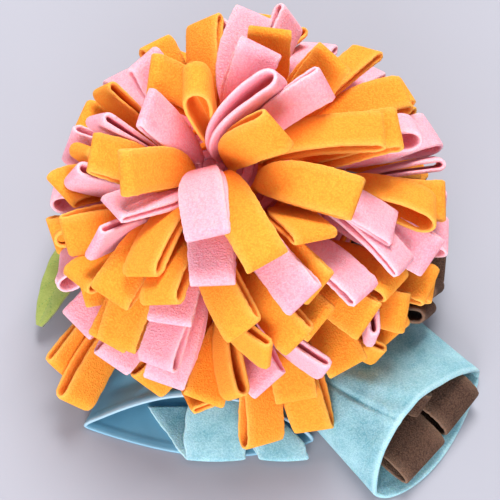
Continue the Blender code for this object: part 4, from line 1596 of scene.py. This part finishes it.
def stitch_skins(line, normals, pitch, long, thick, sink=0.15):
    """A row of stitches along a line: short rounded rods whose ends dip into the cloth."""
    far = distances(line)
    stops = np.arange(0.5 * pitch, far[-1], pitch)
    centres = at_distances(stops, far, line)
    ups = units(at_distances(stops, far, normals))
    runs = units(at_distances(stops, far, np.gradient(line, far, axis=0)))
    sides = units(np.cross(ups, runs))
    a = np.linspace(-1, 1, STITCH_RINGS)[:, None]
    b = (np.arange(STITCH_SIDES) * 2 * math.pi / STITCH_SIDES)[None, :]
    round_off = np.sqrt(np.clip(1.02 - a ** 4, 0, 1))
    x = 0.5 * long * a + 0 * b
    y = 0.5 * thick * round_off * np.cos(b)
    z = 0.5 * thick * round_off * np.sin(b) + thick * (0.3 - 0.7 * a ** 2) - sink
    shape = (x[None, ..., None] * runs[:, None, None] + y[None, ..., None] * sides[:, None, None]
             + z[None, ..., None] * ups[:, None, None])
    points = centres[:, None, None] + shape
    faces = skin_faces(STITCH_RINGS, STITCH_SIDES)
    return [plain_skin(rod.reshape(-1, 3), faces) for rod in points]


def line_on(outer, normals, length, u, w, gap_to_mouth):
    """The line on a pouch's top that keeps a gap to the mouth, with its normals."""
    rows = len(outer)
    line, ups = [], []
    for column in np.flatnonzero((w > 0.99) & (u > 0.02) & (u < 0.98)):
        row = (1 - gap_to_mouth / length[column]) * (rows - 1)
        low = int(row)
        share = row - low
        line.append(outer[low, column] * (1 - share) + outer[low + 1, column] * share)
        ups.append(normals[low, column])
    return np.array(line), np.array(ups)


# %% Thread
def thread(name, colour):
    """Spun thread: its colour, and a deeper one between its plies as painted shade."""
    made, tree, shader = new_finish(name)
    plies = noise_at(tree, object_place(tree), Scale=2400.0, Detail=1.0)
    # Painted shade between the plies: the noise blends the colour towards a deeper one
    between = spread(tree, plies.outputs["Fac"], 0.3, 0.7)
    deep = (*[0.6 * part for part in colour], 1.0)
    tone = blend_colours(tree, between, (*colour, 1.0), deep)
    join(tree, tone, shader.inputs["Base Color"])
    shader.inputs["Roughness"].default_value = 0.6
    shader.inputs["Sheen Weight"].default_value = 0.3
    return made


# %% [markdown]
# ## The satin pocket
#
# The pocket's nylon is light and crisp. It keeps a soft ridge behind its hem, a few folds that
# fan from its corners, and a narrow double hem whose thread is a shade paler than the cloth.

# %% The pocket
# Columns: x and y of a crease's start, x and y of its end, its width, its height
POCKET_CREASES = (
    (-80.0, -115.0, -20.0, -107.0, 5.0, 2.6),
    (-20.0, -103.0, 26.0, -104.0, 6.0, 1.6),
    (-84.0, -100.0, -44.0, -92.0, 5.5, -2.6),
    (-60.0, -104.0, -36.0, -84.0, 3.6, 1.3),
    (-30.0, -108.0, -14.0, -86.0, 4.0, -1.4),
    (2.0, -110.0, 14.0, -92.0, 3.6, 1.2),
    (22.0, -116.0, 30.0, -98.0, 4.0, -1.3),
    (-70.0, -110.0, -52.0, -96.0, 3.0, 0.9),
    (-4.0, -98.0, 20.0, -92.0, 3.0, -0.9),
)
# rim: strength of the painted highlight on the cut edge, on the floor side and on top
POCKET_SIZE = {
    "back": POCKET_BACK, "left": POCKET_LEFT, "right": POCKET_RIGHT, "lip": POCKET_LIP,
    "hem": POCKET_HEM, "fold": POCKET_FOLD, "rise": POCKET_RISE, "peak": 0.55, "thick": NYLON,
    "hem_width": 4.5, "hem_height": 0.35, "rim": (0.25, 0.9),
}
SATIN = nylon("satin_cloth", (0.14, 0.37, 0.52), (0.1, 0.29, 0.43), roughness=0.34,
              threads=620.0, relief_depth=0.00012)
skin, outer, normals, length, u, w = tube_skin(POCKET_SIZE, POCKET_CREASES)
pocket = piece_from("pocket_cloth", [skin], SATIN)
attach(pocket, "root")
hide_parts("nylon_pocket")
line, ups = line_on(outer, normals, length, u, w, gap_to_mouth=4.2)
PALE_THREAD = thread("pocket_thread", (0.17, 0.38, 0.5))
stitches = stitch_skins(line, ups, pitch=2.6, long=1.9, thick=0.4)
pocket_stitches = piece_from("pocket_stitches", stitches, PALE_THREAD)
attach(pocket_stitches, "root")

# %% [markdown]
# ## The fleece sleeve
#
# The sleeve is a tube of light blue fleece. A flat seam runs over its top from the flower to the
# mouth, where two cuts of fleece were joined, and it draws the cloth down along its length. The
# mouth has a turned hem that is thicker and rolls outwards a little.

# %% The sleeve
SEAM_BACK = np.array((48.0, -100.0))
SEAM_FRONT = np.array((90.0, -134.0))
# Columns as in the pocket's creases. The first is the seam's own trough
SLEEVE_CREASES = (
    (48.0, -100.0, 90.0, -134.0, 1.6, -1.7),
    (62.0, -124.0, 84.0, -146.0, 9.0, -3.2),
    (84.0, -104.0, 112.0, -128.0, 7.0, 2.0),
    (92.0, -92.0, 122.0, -108.0, 6.0, -2.2),
    (60.0, -100.0, 84.0, -112.0, 5.0, 1.4),
    (104.0, -78.0, 132.0, -92.0, 6.0, 1.6),
    (72.0, -138.0, 88.0, -152.0, 5.0, 1.5),
    (80.0, -118.0, 100.0, -126.0, 4.0, -1.2),
)
# rim: strength of the painted highlight on the cut edge, on the floor side and on top
SLEEVE_SIZE = {
    "back": SLEEVE_BACK, "left": SLEEVE_LEFT, "right": SLEEVE_RIGHT, "lip": SLEEVE_LIP,
    "hem": SLEEVE_HEM, "fold": SLEEVE_FOLD, "rise": SLEEVE_RISE, "peak": 0.38, "thick": FLEECE,
    "hem_width": 7.0, "hem_height": 0.3, "rim": (0.3, 0.5),
}
skin, outer, normals, length, u, w = tube_skin(
    SLEEVE_SIZE, SLEEVE_CREASES, (SEAM_BACK, SEAM_FRONT), columns=128, rows=96, rounding=20)
sleeve = piece_from("sleeve_cloth", [skin], AQUA)
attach(sleeve, "root")
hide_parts("fleece_sleeve")

# %% Its seams
def nearest_line(outer, normals, w, start, end, count):
    """Points of a pouch's top nearest to a straight line on the plan, with their normals."""
    top = np.flatnonzero(w > 0.99)
    flat = outer[:, top, :2].reshape(-1, 2)
    solid = outer[:, top].reshape(-1, 3)
    ways = normals[:, top].reshape(-1, 3)
    wanted = start + (end - start) * np.linspace(0, 1, count)[:, None]
    away = np.linalg.norm(flat[None] - wanted[:, None], axis=-1)
    order = np.argsort(away, axis=1)[:, :4]
    near = np.take_along_axis(away, order, axis=1)
    weight = 1 / (near + 0.05)
    weight /= weight.sum(axis=1, keepdims=True)
    points = np.einsum("ij,ijk->ik", weight, solid[order])
    points[:, :2] = wanted
    return points, units(np.einsum("ij,ijk->ik", weight, ways[order]))


DARK_THREAD = thread("seam_thread", (0.1, 0.2, 0.24))
AQUA_THREAD = thread("hem_thread", (0.24, 0.48, 0.54))
line, ups = nearest_line(outer, normals, w, SEAM_BACK, SEAM_FRONT, count=40)
stitches = stitch_skins(line, ups, pitch=2.5, long=1.8, thick=0.45, sink=0.3)
seam_stitches = piece_from("sleeve_seam_stitches", stitches, DARK_THREAD)
line, ups = line_on(outer, normals, length, u, w, gap_to_mouth=8.6)
stitches = stitch_skins(line, ups, pitch=3.2, long=2.3, thick=0.6, sink=0.3)
hem_stitches = piece_from("sleeve_hem_stitches", stitches, AQUA_THREAD)
for sewn in (seam_stitches, hem_stitches):
    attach(sewn, "root")

# %% [markdown]
# ## Strips in the pocket
#
# Two wide strips of light blue fleece lie in the pocket, folded over its lip. Each is the strip
# section again, carried along a curve that passes through the points of its path.

# %% A smooth line through points
def smooth_line(points, count):
    """A Catmull-Rom curve through the points, at evenly spaced parameters."""
    points = np.asarray(points, float)
    padded = np.vstack((2 * points[0] - points[1], points, 2 * points[-1] - points[-2]))
    t = np.linspace(0, len(points) - 1, count)
    i = np.minimum(t.astype(int), len(points) - 2)
    f = (t - i)[:, None]
    p0, p1, p2, p3 = padded[i], padded[i + 1], padded[i + 2], padded[i + 3]
    return 0.5 * (2 * p1 + (p2 - p0) * f + (2 * p0 - 5 * p1 + 4 * p2 - p3) * f ** 2
                  + (3 * p1 - p0 - 3 * p2 + p3) * f ** 3)


# %% The two strips
for name, path in STRIP_PATHS:
    dice = np.random.default_rng(len(path[0]) + len(name))
    line = smooth_line(path, 120)
    middle = line[:, :3]
    middle[:, 2] = np.maximum(middle[:, 2], 0.5 * FLEECE + NYLON + 0.1)
    widths = np.tile(np.array((1.0, 0.0, 0.0)), (len(middle), 1))
    share = np.linspace(0, 1, len(middle))
    wave = 0.5 * np.sin(share * 17) + 0.35 * np.sin(share * 41 + 1)
    wave = wave + dice.normal(0, 0.12, len(middle))
    cup = 1.2 * np.sin(share * 3.1)
    points = carried(middle, widths, line[:, 3], 0.5 * FLEECE, cup, wave, square=False)
    points[:, 2] = np.maximum(points[:, 2], 0.3)
    faces = skin_faces(len(middle), len(STRIP_SECTION))
    skin = plain_skin(points, faces, cut_edges(len(middle)), shade=0.2)
    strip = piece_from(f"{name}_cloth", [skin], AQUA)
    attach(strip, "root")
    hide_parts(name)

# %% [markdown]
# ## The felt leaf
#
# Felt is pressed, not knitted, so it has no pebbles: only short fibres that lie every way. The
# leaf is one cut of it, creased down the middle, with a stitched rib and side veins.

# %% The felt
FIBRE_SHARE = 0.65


def felt(name, colour, deep):
    """Pressed fibres: noise stretched one way over noise in clumps, as colour and as height."""
    made, tree, shader = new_finish(name)
    place = object_place(tree)
    long_fibres = tree.nodes.new("ShaderNodeMapping")
    long_fibres.inputs["Scale"].default_value = (1.0, 4.0, 4.0)
    long_fibres.inputs["Rotation"].default_value = (0.4, 0.3, 0.9)
    join(tree, place, long_fibres.inputs["Vector"])
    fibres = noise_at(tree, long_fibres.outputs["Vector"], Scale=420.0, Detail=3.0,
                      Roughness=0.7, Distortion=1.5)
    clumps = noise_at(tree, place, Scale=120.0, Detail=2.0)
    mixed = maths(tree, "ADD",
                  maths(tree, "MULTIPLY", fibres.outputs["Fac"], FIBRE_SHARE),
                  maths(tree, "MULTIPLY", clumps.outputs["Fac"], 0.35))
    tone = spread(tree, mixed, 0.38, 0.62, 1.0, 0.0)
    join(tree, blend_colours(tree, tone, (*colour, 1.0), (*deep, 1.0)), shader.inputs["Base Color"])
    add_relief(tree, shader, mixed, 0.6, 0.0005)
    shader.inputs["Roughness"].default_value = 0.95
    shader.inputs["Specular IOR Level"].default_value = 0.15
    shader.inputs["Sheen Weight"].default_value = 0.3
    return made


FELT = felt("green_felt", (0.33, 0.38, 0.1), (0.22, 0.28, 0.055))

# %% The leaf
def leaf_surface(stations, across):
    """The leaf's upper face and its upward directions, on a grid from stalk to tip.

    Across, x runs from -1 to 1 and the face drops by the crease at the middle. The half width is
    read from LEAF_LINE and the cut edge waves a little.
    """
    line = smooth_line(LEAF_LINE, stations)
    middle = line[:, :3]
    runs = units(np.gradient(middle, axis=0))
    face = unit(LEAF_FACE)
    widths = units(np.cross(runs, face))
    ups = units(np.cross(widths, runs))
    ups[ups @ face < 0] *= -1
    x = np.linspace(-1, 1, across)
    halves = np.maximum(line[:, 3], 0.6) * (1 + 0.02 * np.sin(np.arange(stations) * 0.55))
    crease = LEAF_CREASE * np.minimum(1.0, halves / 8.0)
    drop = crease[:, None] * (1 - np.abs(x)[None, :]) ** 1.3
    curl = 0.9 * (x[None, :] ** 4) * np.sin(np.linspace(0, 5, stations))[:, None]
    top = middle[:, None] + widths[:, None] * (halves[:, None] * x)[..., None]
    top = top + ups[:, None] * (0.5 * LEAF_THICKNESS - 0.4 - drop + curl)[..., None]
    return top, np.broadcast_to(ups[:, None], top.shape)


stations, across = 90, 33
top, ups = leaf_surface(stations, across)
under = top - ups * (LEAF_THICKNESS - 0.8)
around = np.concatenate((top, under[:, ::-1]), axis=1)
edge = np.tile(np.concatenate((np.abs(np.linspace(-1, 1, across)) ** 20,) * 2), stations)
leaf_skin = plain_skin(around.reshape(-1, 3), skin_faces(stations, 2 * across), edge)
leaf = piece_from("leaf_cloth", [leaf_skin], FELT)
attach(leaf, "root")
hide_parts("leaf")

# %% Its rib and veins
def leaf_vein(start, end, side):
    """A line on the leaf's face from the middle at share start to the edge at share end."""
    share = np.linspace(0, 1, 20)
    station = (start + (end - start) * share) * (stations - 1)
    column = (across - 1) * (0.5 + 0.5 * side * share * 0.86)
    row_low = station.astype(int)
    col_low = np.minimum(column.astype(int), across - 2)
    fr = (station - row_low)[:, None]
    fc = (column - col_low)[:, None]
    near = top[row_low, col_low] * (1 - fc) + top[row_low, col_low + 1] * fc
    row_high = np.minimum(row_low + 1, stations - 1)
    far = top[row_high, col_low] * (1 - fc) + top[row_high, col_low + 1] * fc
    return near * (1 - fr) + far * fr, ups[row_low, col_low]


# Where each vein leaves the rib and where it meets the edge, as shares of the leaf's length
VEINS = ((0.3, 0.42), (0.45, 0.57), (0.6, 0.72), (0.74, 0.85))
sewn_lines = [(0.05, 0.97, 0.0)] + [(*vein, side) for vein in VEINS for side in (1, -1)]
rods = []
for sewn_line in sewn_lines:
    rods += stitch_skins(*leaf_vein(*sewn_line), pitch=2.8, long=2.2, thick=0.55)
GREEN_THREAD = thread("green_thread", (0.2, 0.36, 0.06))
veins = piece_from("leaf_stitches", rods, GREEN_THREAD)
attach(veins, "root")
print("veins and rib:", len(rods), "stitches")

# %% [markdown]
# ## Floor, light and camera
#
# Two broad lamps light the mat: a window above and behind, which rakes over the loops and leaves
# their hollows deep, and a low one in front that fills the openings. The floor and the room are
# pale and throw light back into the hollows.

# %% Floor
FLOOR_PALE = (0.352, 0.352, 0.402, 1.0)
FLOOR_DEEP = (0.344, 0.344, 0.392, 1.0)
FLOOR_HALF = 8.0


def floor_finish():
    made, tree, shader = new_finish("paper_floor")
    mottle_and_pit_shade = noise_at(tree, object_place(tree), Scale=6.0, Detail=2.0)
    tone = spread(tree, mottle_and_pit_shade.outputs["Fac"], 0.3, 0.7)
    join(tree, blend_colours(tree, tone, FLOOR_PALE, FLOOR_DEEP), shader.inputs["Base Color"])
    shader.inputs["Roughness"].default_value = 0.9
    return made


floor_mesh = bpy.data.meshes.new("floor")
corners = [(FLOOR_HALF * x, FLOOR_HALF * y, 0) for x, y in ((-1, -1), (1, -1), (1, 1), (-1, 1))]
floor_mesh.from_pydata(corners, [], [(0, 1, 2, 3)])
floor_mesh.materials.append(floor_finish())
floor = bpy.data.objects.new("floor", floor_mesh)
bpy.context.collection.objects.link(floor)
floor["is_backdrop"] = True

print("floor:", 2 * FLOOR_HALF, "m square")

# %% Light
def lamp(name, place, aim_at, energy, size, colour):
    light = bpy.data.lights.new(name, "AREA")
    light.energy = energy
    light.shape = "DISK"
    light.size = size
    light.color = colour
    made = bpy.data.objects.new(name, light)
    made.location = place
    made.rotation_euler = (Vector(aim_at) - Vector(place)).to_track_quat("-Z", "Y").to_euler()
    bpy.context.collection.objects.link(made)
    return made


middle = (0.0, -0.03, 0.05)
lamp("window", (0.2, 1.05, 1.9), middle, energy=64.0, size=1.1, colour=(1.0, 0.99, 0.97))
lamp("bounce", (-0.3, -1.65, 0.45), middle, energy=46.0, size=1.4, colour=(0.97, 0.98, 1.0))
world = bpy.data.worlds.new("pale_room")
world.use_nodes = True
room = world.node_tree.nodes["Background"]
room.inputs["Color"].default_value = (0.93, 0.94, 1.0, 1.0)
room.inputs["Strength"].default_value = 0.5
bpy.context.scene.world = world
bpy.context.scene.view_settings.view_transform = "Standard"

# %% Camera
CAMERA_TARGET = metres((5.0, -26.5, 58.0))
CAMERA_DISTANCE = 0.732
CAMERA_HEIGHT_ANGLE = math.radians(60.0)
camera_data = bpy.data.cameras.new("camera")
camera_data.lens = 85.0
camera_data.sensor_width = 36.0
camera = bpy.data.objects.new("camera", camera_data)
offset = np.array((0.0, -math.cos(CAMERA_HEIGHT_ANGLE), math.sin(CAMERA_HEIGHT_ANGLE)))
camera.location = CAMERA_TARGET + CAMERA_DISTANCE * offset
camera.rotation_euler = Vector(-offset).to_track_quat("-Z", "Y").to_euler()
bpy.context.collection.objects.link(camera)
bpy.context.scene.camera = camera
print("camera:", [round(part, 3) for part in camera.location])

# %% Both boxes, and the count of faces
look_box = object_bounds()
boxes = {"cad": [list(map(float, corner)) for corner in cad_box],
         "look": [list(map(float, corner)) for corner in look_box]}
for name, (low, high) in boxes.items():
    print(name, [round((b - a) / MM, 1) for a, b in zip(low, high)], "mm")
shown = [o for o in bpy.data.objects if o.type == "MESH" and not o.hide_render]
print("faces:", sum(len(o.data.polygons) for o in shown))
